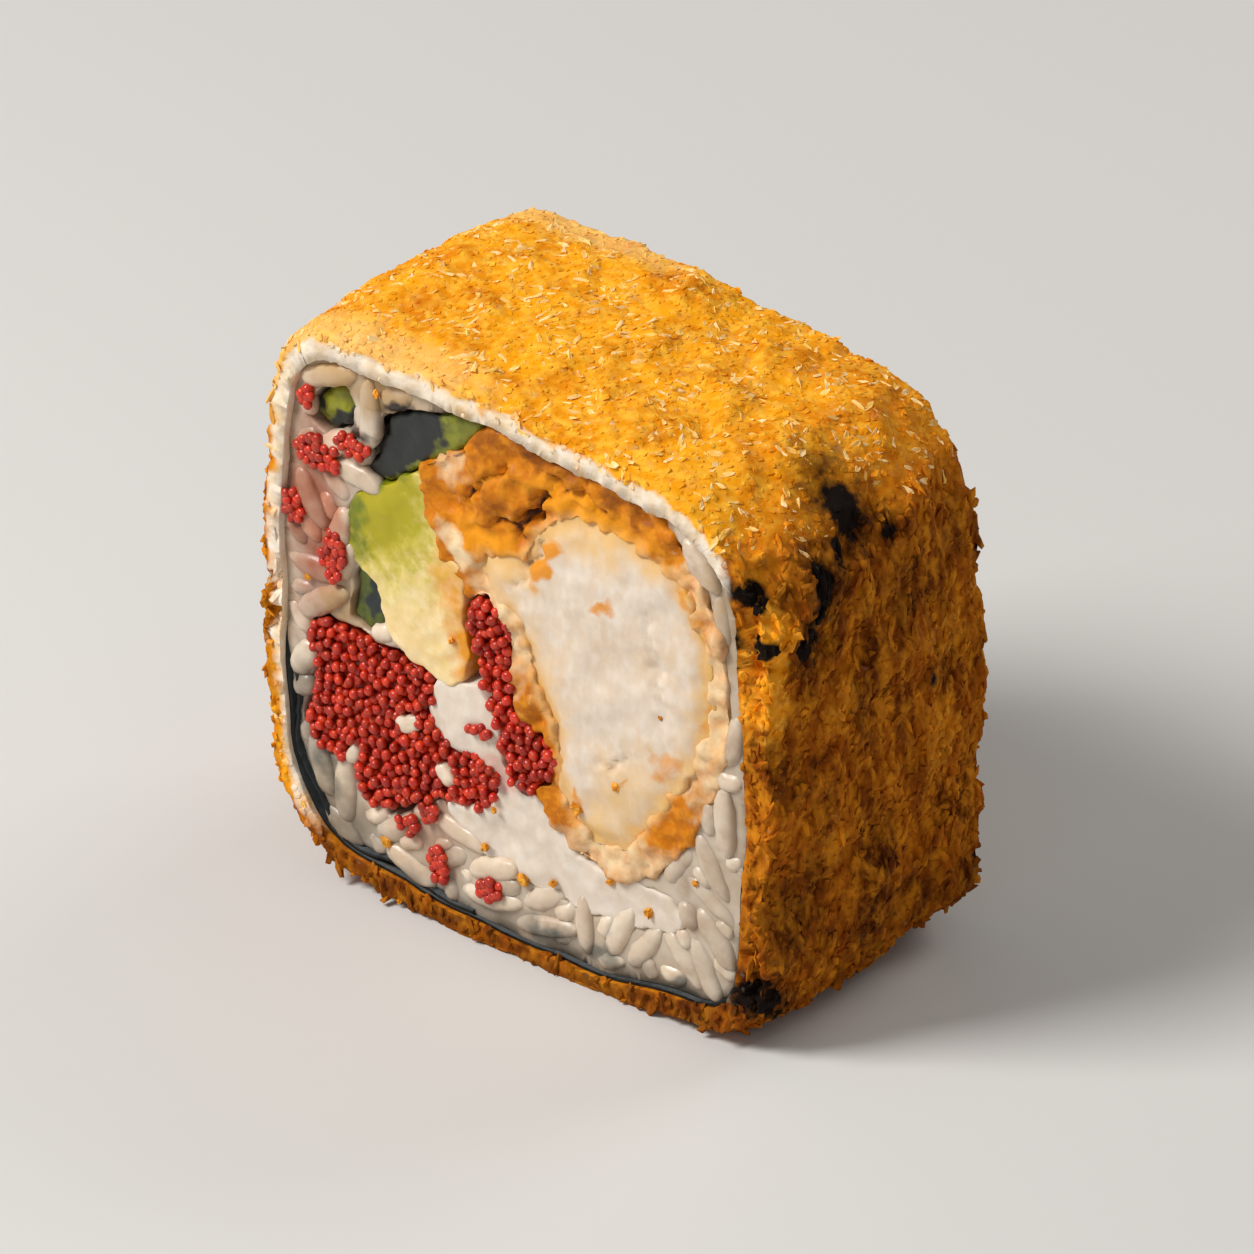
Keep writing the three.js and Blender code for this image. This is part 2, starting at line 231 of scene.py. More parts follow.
def evenTone(piece, tone):
    setMask(piece, "tone", np.full(len(piece.data.vertices), tone))


def paintWith(piece, material, smooth=True):
    piece.data.materials.clear()
    piece.data.materials.append(material)
    makeActive(piece)
    if smooth:
        bpy.ops.object.shade_smooth()
    else:
        bpy.ops.object.shade_flat()
    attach(piece, "root")


# Materials

def linear(code):
    channels = [int(code[i:i + 2], 16) / 255 for i in (1, 3, 5)]
    return [c / 12.92 if c <= 0.04045 else ((c + 0.055) / 1.055) ** 2.4 for c in channels] + [1.0]


# What all the food finishes share: which noise counts as a patch or speck, and how fine each noise is
finish = {
    "noiseFrom": 0.42, "noiseTo": 0.66, "patchDetail": 4, "speckDetail": 6,
    # A mask's edge lies where mask + ragged * noise passes edgeAt
    "edgeDetail": 5, "ragged": 0.9, "edgeAt": 0.95,
    "roughSpread": 0.08, "coatRoughness": 0.12,
}


def buildMottle():
    group = bpy.data.node_groups.new("mottle", "ShaderNodeTree")
    sockets = [
        ("Main", "NodeSocketColor"), ("Deep", "NodeSocketColor"), ("Light", "NodeSocketColor"),
        ("Patch Scale", "NodeSocketFloat"), ("Speck Scale", "NodeSocketFloat"),
        ("Deep Share", "NodeSocketFloat"), ("Light Share", "NodeSocketFloat"),
    ]
    for name, kind in sockets:
        group.interface.new_socket(name, in_out="INPUT", socket_type=kind)
    group.interface.new_socket("Stretch", in_out="INPUT", socket_type="NodeSocketVector")
    group.interface.new_socket("Color", in_out="OUTPUT", socket_type="NodeSocketColor")
    group.interface.new_socket("Height", in_out="OUTPUT", socket_type="NodeSocketFloat")
    add, link = group.nodes.new, group.links.new
    given, result, place = add("NodeGroupInput"), add("NodeGroupOutput"), add("ShaderNodeTexCoord")
    stretched = add("ShaderNodeVectorMath")
    stretched.operation = "MULTIPLY"
    link(place.outputs["Object"], stretched.inputs[0])
    link(given.outputs["Stretch"], stretched.inputs[1])

    def noiseMask(scaleName, shareName, detail):
        noise = add("ShaderNodeTexNoise")
        noise.inputs["Detail"].default_value = detail
        link(stretched.outputs["Vector"], noise.inputs["Vector"])
        link(given.outputs[scaleName], noise.inputs["Scale"])
        spread = add("ShaderNodeMapRange")
        spread.inputs["From Min"].default_value = finish["noiseFrom"]
        spread.inputs["From Max"].default_value = finish["noiseTo"]
        link(noise.outputs["Fac"], spread.inputs["Value"])
        share = add("ShaderNodeMath")
        share.operation = "MULTIPLY"
        link(spread.outputs["Result"], share.inputs[0])
        link(given.outputs[shareName], share.inputs[1])
        return noise, share

    patches, deepShare = noiseMask("Patch Scale", "Deep Share", finish["patchDetail"])
    specks, lightShare = noiseMask("Speck Scale", "Light Share", finish["speckDetail"])
    toDeep, toLight, height = add("ShaderNodeMix"), add("ShaderNodeMix"), add("ShaderNodeMath")
    toDeep.data_type = toLight.data_type = "RGBA"
    link(deepShare.outputs[0], toDeep.inputs["Factor"])
    link(given.outputs["Main"], toDeep.inputs[6])
    link(given.outputs["Deep"], toDeep.inputs[7])
    link(lightShare.outputs[0], toLight.inputs["Factor"])
    link(toDeep.outputs[2], toLight.inputs[6])
    link(given.outputs["Light"], toLight.inputs[7])
    height.operation = "ADD"
    link(patches.outputs["Fac"], height.inputs[0])
    link(specks.outputs["Fac"], height.inputs[1])
    link(toLight.outputs[2], result.inputs["Color"])
    link(height.outputs[0], result.inputs["Height"])
    return group


mottle = buildMottle()


# A food finish: mottled colours, over them the masks, and a bump from the mottling
# A mask is given as its name, its colour or look, and how soft its edge is
def foodMaterial(name, look, masks=()):
    material = bpy.data.materials.new(name)
    material.use_nodes = True
    tree = material.node_tree
    add, link = tree.nodes.new, tree.links.new
    shader = tree.nodes["Principled BSDF"]

    def mottled(values):
        part = add("ShaderNodeGroup")
        part.node_tree = mottle
        for socket, key in (("Main", "main"), ("Deep", "deep"), ("Light", "light")):
            part.inputs[socket].default_value = linear(values[key])
        part.inputs["Patch Scale"].default_value = 1 / (values["patch"] * mm)
        part.inputs["Speck Scale"].default_value = 1 / (values["speck"] * mm)
        part.inputs["Deep Share"].default_value = values["deepShare"]
        part.inputs["Light Share"].default_value = values["lightShare"]
        part.inputs["Stretch"].default_value = values.get("stretch", (1, 1, 1))
        return part

    base = mottled(look)
    colour = base.outputs["Color"]
    edgeNoise = add("ShaderNodeTexNoise")
    place = add("ShaderNodeTexCoord")
    edgeNoise.inputs["Scale"].default_value = 1 / (look.get("edge", 1.2) * mm)
    edgeNoise.inputs["Detail"].default_value = finish["edgeDetail"]
    link(place.outputs["Object"], edgeNoise.inputs["Vector"])
    for maskName, over, soft in masks:
        mask, ragged, amount, mix = (add(kind) for kind in (
            "ShaderNodeAttribute", "ShaderNodeMath", "ShaderNodeMapRange", "ShaderNodeMix"))
        mask.attribute_name = maskName
        ragged.operation = "MULTIPLY_ADD"
        link(edgeNoise.outputs["Fac"], ragged.inputs[0])
        ragged.inputs[1].default_value = finish["ragged"]
        link(mask.outputs["Fac"], ragged.inputs[2])
        amount.inputs["From Min"].default_value = finish["edgeAt"] - soft
        amount.inputs["From Max"].default_value = finish["edgeAt"] + soft
        link(ragged.outputs[0], amount.inputs["Value"])
        mix.data_type = "RGBA"
        link(amount.outputs["Result"], mix.inputs["Factor"])
        link(colour, mix.inputs[6])
        if isinstance(over, dict):
            link(mottled(over).outputs["Color"], mix.inputs[7])
        else:
            mix.inputs[7].default_value = linear(over)
        colour = mix.outputs[2]
    if "tone" in look:
        tone, tint = add("ShaderNodeAttribute"), add("ShaderNodeMapRange")
        shift = add("ShaderNodeHueSaturation")
        tone.attribute_name = "tone"
        tint.inputs["To Min"].default_value = 1 - look["tone"]
        tint.inputs["To Max"].default_value = 1 + look["tone"]
        link(tone.outputs["Fac"], tint.inputs["Value"])
        link(tint.outputs["Result"], shift.inputs["Value"])
        link(colour, shift.inputs["Color"])
        colour = shift.outputs["Color"]
    link(colour, shader.inputs["Base Color"])
    rough = add("ShaderNodeMapRange")
    rough.inputs["To Min"].default_value = look["rough"] - finish["roughSpread"]
    rough.inputs["To Max"].default_value = look["rough"] + finish["roughSpread"]
    link(base.outputs["Height"], rough.inputs["Value"])
    link(rough.outputs["Result"], shader.inputs["Roughness"])
    bump = add("ShaderNodeBump")
    bump.inputs["Strength"].default_value = look["bump"]
    bump.inputs["Distance"].default_value = look.get("bumpDepth", 0.15) * mm
    link(base.outputs["Height"], bump.inputs["Height"])
    link(bump.outputs["Normal"], shader.inputs["Normal"])
    shader.inputs["Subsurface Weight"].default_value = look.get("glow", 0)
    shader.inputs["Subsurface Radius"].default_value = look.get("glowReach", (1, 0.6, 0.3))
    shader.inputs["Subsurface Scale"].default_value = look.get("glowDepth", 1.0) * mm
    shader.inputs["Specular IOR Level"].default_value = look.get("shine", 0.5)
    shader.inputs["Coat Weight"].default_value = look.get("wet", 0)
    shader.inputs["Coat Roughness"].default_value = finish["coatRoughness"]
    return material


# Camera, floor and light

view = {
    "azimuth": 39.7, "elevation": 29.8, "distance": 1600, "frameWidth": 92, "aim": (0.4, 0, 22.6),
    "sensor": 36, "farthest": 20000,
}


def addCamera():
    a, e = math.radians(view["azimuth"]), math.radians(view["elevation"])
    back = Vector((math.sin(a) * math.cos(e), -math.cos(a) * math.cos(e), math.sin(e)))
    camera = bpy.data.objects.new("camera", bpy.data.cameras.new("camera"))
    bpy.context.scene.collection.objects.link(camera)
    camera.location = Vector(view["aim"]) * mm + back * view["distance"] * mm
    camera.rotation_euler = (-back).to_track_quat("-Z", "Y").to_euler()
    camera.data.sensor_width = view["sensor"]
    camera.data.lens = view["sensor"] * view["distance"] / view["frameWidth"]
    camera.data.clip_end = view["farthest"] * mm
    bpy.context.scene.camera = camera


studio = {
    "floor": "#D2CFCA", "floorSize": 3000, "floorRoughness": 0.8, "world": 0.22, "aim": (0, 0, 22),
    # Name, place, size, power
    "lights": [
        ("key", (-250, -340, 460), 220, 3.9),
        ("fill", (300, -480, 200), 420, 0.35),
        ("rim", (120, 420, 360), 260, 0.8),
    ],
}


def addStudio():
    bpy.ops.object.select_all(action="DESELECT")
    bpy.ops.mesh.primitive_plane_add(size=studio["floorSize"] * mm, location=(0, 0, 0))
    floor = bpy.context.active_object
    floor.name = "floor"
    paper = bpy.data.materials.new("paper")
    paper.use_nodes = True
    shader = paper.node_tree.nodes["Principled BSDF"]
    shader.inputs["Base Color"].default_value = linear(studio["floor"])
    shader.inputs["Roughness"].default_value = studio["floorRoughness"]
    floor.data.materials.append(paper)
    for name, place, size, power in studio["lights"]:
        lamp = bpy.data.lights.new(name, "AREA")
        lamp.size = size * mm
        lamp.energy = power
        holder = bpy.data.objects.new(name, lamp)
        bpy.context.scene.collection.objects.link(holder)
        holder.location = Vector(place) * mm
        towards = Vector(studio["aim"]) * mm - holder.location
        holder.rotation_euler = towards.to_track_quat("-Z", "Y").to_euler()
    world = bpy.data.worlds.new("room")
    world.use_nodes = True
    world.node_tree.nodes["Background"].inputs["Color"].default_value = (1, 1, 1, 1)
    world.node_tree.nodes["Background"].inputs["Strength"].default_value = studio["world"]
    bpy.context.scene.world = world
    bpy.context.scene.view_settings.view_transform = "Standard"


addCamera()
addStudio()
print("camera and studio are up")


# What lies at a place of the cut, seen along the roll

evaluated = bpy.context.evaluated_depsgraph_get()
surfaces = {name: BVHTree.FromObject(node, evaluated) for name, node in nodes.items()}
lookFrom = 30


def nodeAt(x, z, side):
    start, towards = Vector((x * mm, side * lookFrom * mm, z * mm)), Vector((0, -side, 0))
    nearest = (None, 1.0)
    for name, surface in surfaces.items():
        distance = surface.ray_cast(start, towards)[3]
        if distance is not None and distance < nearest[1]:
            nearest = (name, distance)
    return nearest[0]


# The fried crust: the frame's ring with crags, its crumbs scattered on it

crust = {
    "voxel": 0.34, "closeReach": 0.75, "closeOver": 0.2,
    # The right side's rounded rim is filled out to the cut by a share, from and to a place along the roll
    "rim": {"share": 0.85, "from": (9.5, 11.5), "to": 12.5, "side": (22.2, 23.6)},
    "cut": {"start": 11.3, "level": 12.55, "give": 0.4},
    "crags": [("CLOUDS", 3.2, 0.6), ("VORONOI", 1.7, 0.5), ("CLOUDS", 0.9, 0.35)],
    "cragsMiddle": 0.6, "bready": [("CLOUDS", 0.8, 0.55)],
    # Where zones begin and are full: across, up, along the roll from its middle, or away from the seaweed
    "zones": {
        "rightSide": (19.5, 23.0), "rightSideTop": (38.5, 42.5), "underside": (2.5, 6.5),
        "leftSide": (-24, -21.5), "leftSideTop": (36, 41),
        "offSheet": (0.3, 0.8), "cutAlong": (11.3, 12.0), "cutFacing": (0.35, 0.75),
        "atLeft": (-22.5, -20.5), "lowLeft": (14, 20), "doughLeft": (0.8, 1.4), "doughTop": (1.1, 1.8),
        "brownRight": (18.8, 21.2), "brownLow": (2, 8), "innerFace": (0.35, 0.7), "innerAlong": (9.5, 11),
        "cornerAcross": (13, 19), "cornerAlong": (-2, 8), "cornerUp": (38, 42),
        "browningRight": (17, 22), "browningLow": (3, 9), "browningLeft": (-24.5, -21.5),
        "palingAlong": (7.5, 12), "palingAcross": (-10, 2), "palingUp": (34, 40),
        "spotSide": (15, 18), "charLow": (2, 6), "crumbsUp": (0.1, 0.5), "burntBare": (0.2, 0.6),
        "longCrumb": (0.5, 1.4), "clusters": (-0.15, 0.45),
    },
    # How strongly each tone shows where it is full
    "strength": {
        # The right side, the underside and the cut's lower and right rim are toasted and also darkened with
        # painted shade
        "pale": 0.95, "inner": 0.9, "right": 0.95, "under": 0.85, "left": 0.62, "brownCut": 0.8,
        "toastedMost": 0.95, "browned": 0.75, "backCorner": 0.55, "paled": 0.56, "brownSpots": 0.6,
        # Among these are painted shade in the gaps and along the bottom of the cut, and a painted highlight
        # on the golden crumb
        "gaps": 0.8, "char": 0.66, "lowCut": 0.5, "golden": 0.9, "crumbsOnCut": 0.9, "bareDough": 0.85,
        "smoothCut": 0.8, "smoothTop": 0.5, "flecksApart": 0.12,
    },
    # Masks laid over the look: the mask, its look or colour, how soft its edge is
    "tones": [
        # The toasted and char tones also carry painted shade, the burnt tone painted shade in the gaps, and
        # the golden tone a painted highlight
        ("browned", "brownedLook", 0.5), ("paled", "#F0C478", 0.45), ("toasted", "toastedLook", 0.4),
        ("char", "#4A2004", 0.3), ("golden", "goldenLook", 0.3), ("burnt", "#160C07", 0.18),
        ("pale", "doughLook", 0.34),
    ],
    # Burnt, darker and lighter places of the right side (y, z, radius, strength), a little higher than wide
    "spotHeight": 1.3,
    "burntSpots": [
        (-1.4, 40.6, 1.7, 0.9), (-3.4, 38.8, 0.9, 0.8), (-6.3, 37.2, 1.4, 0.9), (-7.2, 35.3, 0.8, 0.8),
        (-8.2, 33.6, 1.3, 0.9), (1.8, 38.4, 0.8, 0.75), (3.4, 31.8, 0.6, 0.7), (-11.8, 38.4, 1.0, 0.85),
        (-12.2, 34.5, 0.8, 0.85), (5.6, 24.5, 0.5, 0.7), (-11.6, 4.6, 1.2, 0.85), (-9.2, 2.6, 0.8, 0.75),
    ],
    "darkSpots": [
        (2.1, 33.6, 2.6, 0.42), (-9.2, 22.8, 2.2, 0.36), (-9.0, 11.5, 4.6, 0.42), (0, 6.0, 5.0, 0.42),
        (8.5, 4.5, 5.0, 0.36), (9.5, 34, 2.4, 0.36),
    ],
    "lightSpots": [(6.3, 19.3, 2.6, 0.5), (9, 27, 2.0, 0.45), (-4.6, 27.4, 1.6, 0.4), (-5.5, 16.0, 1.6, 0.4)],
    # Round a burnt place the crust is charred as far as this many of its radii
    "charRadius": 2.1,
    # Browner places of the top (x, y, z, radius)
    "brownSpots": [
        (-19.5, -6.5, 44, 2.8), (-15, -5.2, 46, 1.8), (-17.5, 1.0, 45, 2.2), (12, 8.6, 46, 3.0),
        (17.5, 3.0, 44, 2.6), (8.5, 1.5, 46.6, 1.6), (16, -4.5, 44.5, 1.8), (-3.5, 9.0, 47, 1.8),
        (0.5, -7.4, 46.6, 1.2), (20, 9, 42, 3.0),
    ],
    "brownSoft": 0.8,
    # Gaps beside the seaweed, as ellipses on the cut that end in their depth, also coloured near black as
    # painted shade
    "gaps": [(22.3, 34.2, 0.7, 3.8, 10, 1.6), (22.7, 6.4, 0.7, 2.2, 0, 1.5), (-22.9, 21.6, 0.4, 2.4, 0, 1.0)],
    # One long golden crumb up the right side, beside the cut, its colour also lightened as a painted
    # highlight
    "longCrumb": {"y": -11.7, "z": 33.6, "halfLength": 7.4, "halfWidth": 1.4},
    # The dough's border on the cut is crooked by these shares, and the dough is thinner low at the left
    "doughScale": 0.8, "doughUneven": (0.4, 0.3), "doughThinner": 0.5,
    # Flecks lie in clusters, which are wider where this is smaller
    "clusterScale": 0.45,
    # Tries for a scattered thing in each square of its spacing, and the first number of the random draws
    "crowding": 1.6, "seed": 40,
    "scatter": {
        "fine_crumbs": {
            "shapes": 4, "size": (0.8, 0.64, 0.2), "ruffle": 0.09, "spacing": 0.5, "scale": (0.35, 1.1),
            "tilt": (0.14, 0.14, 3.1), "where": "flecky",
        },
        "coarse_crumbs": {
            "shapes": 5, "size": (1.0, 0.8, 0.56), "ruffle": 0.18, "spacing": 0.66, "scale": (0.4, 1.2),
            "tilt": (0.6, 0.6, 3.1), "where": "crusty",
        },
        "shreds": {
            "shapes": 5, "size": (2.2, 0.66, 0.42), "ruffle": 0.17, "spacing": 0.95, "scale": (0.4, 1.15),
            "tilt": (0.5, 0.35, 0.55), "where": "crusty", "along": (0, 0.2, 1),
        },
        "flecks": {
            "shapes": 5, "size": (1.35, 0.46, 0.2), "ruffle": 0.17, "spacing": 0.6, "scale": (0.25, 1.15),
            "tilt": (0.2, 0.2, 1.5), "where": "feathered", "along": (0.4, 1, 0.3),
        },
    },
    "look": {
        "main": "#F09E0E", "deep": "#D47C04", "light": "#F8BC3C", "patch": 3.8, "speck": 0.9,
        "deepShare": 1.0, "lightShare": 0.75, "rough": 0.72, "bump": 0.6, "bumpDepth": 0.2,
        "tone": 0.12, "shine": 0.08, "edge": 1.0,
    },
    "brownedLook": {
        "main": "#D8780A", "deep": "#B45A05", "light": "#EE9A20", "patch": 2.4, "speck": 0.9,
        "deepShare": 0.9, "lightShare": 0.7,
    },
    # Toasted crust colour, made darker as painted shade on the right side and underneath
    "toastedLook": {
        "main": "#A05206", "deep": "#5A2602", "light": "#D08218", "patch": 3.0, "speck": 1.0,
        "deepShare": 1.0, "lightShare": 0.9, "stretch": (1, 1, 0.4),
    },
    # Golden crumb colour, lightened in part as a painted highlight
    "goldenLook": {
        "main": "#EE9612", "deep": "#C87008", "light": "#F8B43C", "patch": 1.8, "speck": 0.8,
        "deepShare": 0.9, "lightShare": 0.8,
    },
    "doughLook": {
        "main": "#EBD9C0", "deep": "#E2C08A", "light": "#F3EADF", "patch": 2.4, "speck": 0.7,
        "deepShare": 0.7, "lightShare": 0.5,
    },
    "fleckLook": {
        "main": "#F6C05A", "deep": "#F0A428", "light": "#FBE4B4", "patch": 1.6, "speck": 0.8,
        "deepShare": 0.7, "lightShare": 0.7, "rough": 0.6, "bump": 0.3, "tone": 0.12, "shine": 0.25,
    },
}


# Softly 1 round a place, within its radius
def roundMask(offsets, radius, soft=0.6):
    far = np.sqrt(sum(offset ** 2 for offset in offsets))
    return 1 - smoothStep(radius * (1 - soft), radius * (1 + soft), far)


# From 0 to 1 over a zone, and from 1 to 0
def rising(zone, values):
    return smoothStep(*crust["zones"][zone], values)


def falling(zone, values):
    return 1 - rising(zone, values)


# Spots (y, z, radius, strength) of the right side
def sideSpots(places, spots, grown=1.0):
    mask = np.zeros(len(places))
    for y, z, radius, strength in spots:
        offsets = (places[:, 1] - y, (places[:, 2] - z) / crust["spotHeight"])
        mask = np.maximum(mask, strength * roundMask(offsets, radius * grown))
    return mask * rising("spotSide", places[:, 0])


# The long golden crumb, with uneven edges
def longCrumb(places):
    long = crust["longCrumb"]
    awryY, awryZ = crooked(places[:, 1], places[:, 2])
    across = np.abs(awryY - long["y"]) / long["halfWidth"]
    along = np.abs(awryZ - long["z"]) / long["halfLength"]
    return falling("longCrumb", np.hypot(along ** 2, across)) * rising("rightSide", places[:, 0])


# 1 where pale dough shows on the cut, near the seaweed, with an uneven border
def doughMask(x, z, fromSheet):
    atLeft, scale = falling("atLeft", x), crust["doughScale"]
    awryX, awryZ = crooked(x * scale, z * scale)
    shareX, shareZ = crust["doughUneven"]
    uneven = fromSheet + shareX * (awryX - scale * x) + shareZ * (awryZ - scale * z)
    uneven = uneven + crust["doughThinner"] * atLeft * falling("lowLeft", z)
    return falling("doughLeft", uneven) * atLeft + falling("doughTop", uneven) * (1 - atLeft)


def crustMasks(piece):
    places, facing = corners(piece) / mm, outwards(piece)
    fromSheet, strength = distanceTo(piece, surfaces["nori_wrap"]), crust["strength"]
    x, y, z = places[:, 0], np.abs(places[:, 1]), places[:, 2]
    outer = rising("offSheet", fromSheet)
    right = rising("rightSide", x) * falling("rightSideTop", z)
    under = falling("underside", z)
    left = falling("leftSide", x) * falling("leftSideTop", z)
    cut = rising("cutAlong", y) * rising("cutFacing", np.abs(facing[:, 1]))
    masks = {"outer": outer, "cut": cut}
    # Pale dough, and toasted sides that are also darkened with painted shade on the right, underneath and on
    # the cut's lower and right rim
    brown = np.maximum(rising("brownRight", x), falling("brownLow", z))
    inner = falling("innerFace", fromSheet) * rising("innerAlong", y) * (1 - cut)
    dough = doughMask(x, z, fromSheet)
    masks["pale"] = (1 - brown) * np.maximum(strength["pale"] * cut * dough, strength["inner"] * inner)
    toasted = strength["right"] * right + strength["under"] * under + strength["left"] * left
    masks["toasted"] = np.clip(toasted + strength["brownCut"] * cut * brown, 0, strength["toastedMost"])
    # Browner and paler places of the top
    backCorner = rising("cornerAcross", x) * rising("cornerAlong", places[:, 1]) * rising("cornerUp", z)
    browned = rising("browningRight", x) + falling("browningLow", z) + falling("browningLeft", x)
    browned = np.clip(browned, 0, 1)
    browned = np.maximum(strength["browned"] * browned, strength["backCorner"] * backCorner)
    for *middle, radius in crust["brownSpots"]:
        spot = roundMask((places - middle).T, radius, crust["brownSoft"])
        browned = np.maximum(browned, strength["brownSpots"] * spot)
    masks["browned"] = browned
    paled = strength["paled"] * rising("palingAlong", y)
    masks["paled"] = paled * falling("palingAcross", x) * rising("palingUp", z)
    # Burnt places with char round them, the golden crumb clear of the char, painted shade in the gaps and
    # along the bottom of the cut, and a painted highlight on the golden crumb
    burnt = sideSpots(places, crust["burntSpots"])
    masks["burnt"] = np.maximum(burnt, strength["gaps"] * cut * ellipses(places * mm, crust["gaps"]))
    char = strength["char"] * sideSpots(places, crust["burntSpots"], crust["charRadius"])
    char = np.maximum(char, sideSpots(places, crust["darkSpots"]))
    # Painted shade along the bottom of the cut
    char = np.maximum(char, strength["lowCut"] * cut * falling("charLow", z))
    golden = longCrumb(places)
    masks["char"] = char * (1 - golden)
    masks["golden"] = np.maximum(strength["golden"] * golden, sideSpots(places, crust["lightSpots"]))
    # Where crumbs, flecks and crags are
    clear = rising("crumbsUp", z) * (1 - strength["bareDough"] * masks["pale"])
    sides = np.clip(right + left + under, 0, 1)
    masks["crusty"] = np.maximum(outer, strength["crumbsOnCut"] * cut * brown) * clear * sides
    masks["flecky"] = outer * clear * (1 - sides) * falling("burntBare", masks["burnt"])
    scale, apart = crust["clusterScale"], strength["flecksApart"]
    awryX, awryY = crooked(scale * x, scale * places[:, 1])
    clusters = rising("clusters", awryX - scale * x + awryY - scale * places[:, 1])
    masks["feathered"] = masks["flecky"] * (apart + (1 - apart) * clusters)
    smooth = strength["smoothTop"]
    masks["crags"] = outer * (1 - strength["smoothCut"] * cut) * (smooth + (1 - smooth) * sides)
    return masks


# A crumb, shred or fleck of its own rough shape, at the origin
def crumbShape(name, kind, seed):
    bpy.ops.object.select_all(action="DESELECT")
    bpy.ops.mesh.primitive_ico_sphere_add(subdivisions=1, radius=0.5 * mm, location=(0, 0, 0))
    shape = bpy.context.active_object
    shape.name = name
    inEditMode(
        shape,
        lambda: bpy.ops.transform.resize(value=kind["size"]),
        lambda: bpy.ops.transform.vertex_random(offset=kind["ruffle"] * mm, uniform=0.4, seed=seed),
    )
    return shape


# Geometry nodes that scatter the shapes where the mask is, and keep only them
def scatterTree(name, shapes, kind, seed):
    tree = bpy.data.node_groups.new(name, "GeometryNodeTree")
    tree.interface.new_socket("Geometry", in_out="INPUT", socket_type="NodeSocketGeometry")
    tree.interface.new_socket("Geometry", in_out="OUTPUT", socket_type="NodeSocketGeometry")
    add, link = tree.nodes.new, tree.links.new
    given, result = add("NodeGroupInput"), add("NodeGroupOutput")
    points = add("GeometryNodeDistributePointsOnFaces")
    points.distribute_method = "POISSON"
    points.inputs["Distance Min"].default_value = kind["spacing"] * mm
    points.inputs["Density Max"].default_value = crust["crowding"] / (kind["spacing"] * mm) ** 2
    points.inputs["Seed"].default_value = seed
    where = add("GeometryNodeInputNamedAttribute")
    where.data_type = "FLOAT"
    where.inputs["Name"].default_value = kind["where"]
    shelf = add("GeometryNodeCollectionInfo")
    shelf.inputs["Collection"].default_value = shapes
    shelf.inputs["Separate Children"].default_value = True
    shelf.inputs["Reset Children"].default_value = True
    spin = add("FunctionNodeRandomValue")
    spin.data_type = "FLOAT_VECTOR"
    spin.inputs[0].default_value = [-angle for angle in kind["tilt"]]
    spin.inputs[1].default_value = kind["tilt"]
    spinRotation, turn = add("FunctionNodeEulerToRotation"), add("FunctionNodeRotateRotation")
    turn.rotation_space = "LOCAL"
    size, tone = add("FunctionNodeRandomValue"), add("FunctionNodeRandomValue")
    size.inputs[2].default_value, size.inputs[3].default_value = kind["scale"]
    size.inputs["Seed"].default_value = seed + 1
    tone.inputs["Seed"].default_value = seed + 2
    instances = add("GeometryNodeInstanceOnPoints")
    instances.inputs["Pick Instance"].default_value = True
    store, realize = add("GeometryNodeStoreNamedAttribute"), add("GeometryNodeRealizeInstances")
    store.data_type, store.domain = "FLOAT", "INSTANCE"
    store.inputs["Name"].default_value = "tone"
    link(given.outputs["Geometry"], points.inputs["Mesh"])
    link(where.outputs["Attribute"], points.inputs["Density Factor"])
    if "along" in kind:
        lie = add("FunctionNodeAxesToRotation")
        lie.primary_axis, lie.secondary_axis = "Z", "X"
        lie.inputs["Secondary Axis"].default_value = kind["along"]
        link(points.outputs["Normal"], lie.inputs["Primary Axis"])
        link(lie.outputs["Rotation"], turn.inputs["Rotation"])
    else:
        link(points.outputs["Rotation"], turn.inputs["Rotation"])
    link(spin.outputs[0], spinRotation.inputs["Euler"])
    link(spinRotation.outputs["Rotation"], turn.inputs["Rotate By"])
    link(points.outputs["Points"], instances.inputs["Points"])
    link(shelf.outputs["Instances"], instances.inputs["Instance"])
    link(turn.outputs["Rotation"], instances.inputs["Rotation"])
    link(size.outputs[1], instances.inputs["Scale"])
    link(instances.outputs["Instances"], store.inputs["Geometry"])
    link(tone.outputs[1], store.inputs["Value"])
    link(store.outputs["Geometry"], realize.inputs["Geometry"])
    link(realize.outputs["Geometry"], result.inputs["Geometry"])
    return tree


def scatterOn(piece, name, kind, seed):
    shapes = bpy.data.collections.new(name + "Shapes")
    bpy.context.scene.collection.children.link(shapes)
    made = [crumbShape(f"{name}{i}", kind, seed + i) for i in range(kind["shapes"])]
    for shape in made:
        for home in list(shape.users_collection):
            home.objects.unlink(shape)
        shapes.objects.link(shape)
    makeActive(piece)
    bpy.ops.object.duplicate()
    heap = bpy.context.active_object
    heap.name = heap.data.name = name
    finishWith(heap, "NODES", node_group=scatterTree(name, shapes, kind, seed))
    for shape in made:
        bpy.data.objects.remove(shape)
    bpy.data.collections.remove(shapes)
    return heap


# Nothing of the piece reaches under the surface that it rests on
def keepAboveTable(piece):
    places = corners(piece)
    places[:, 2] = np.maximum(places[:, 2], 0)
    setCorners(piece, places)


def keepWithinCut(piece, reach):
    places = corners(piece)
    places[:, 1] = np.clip(places[:, 1], -reach * mm, reach * mm)
    setCorners(piece, places)


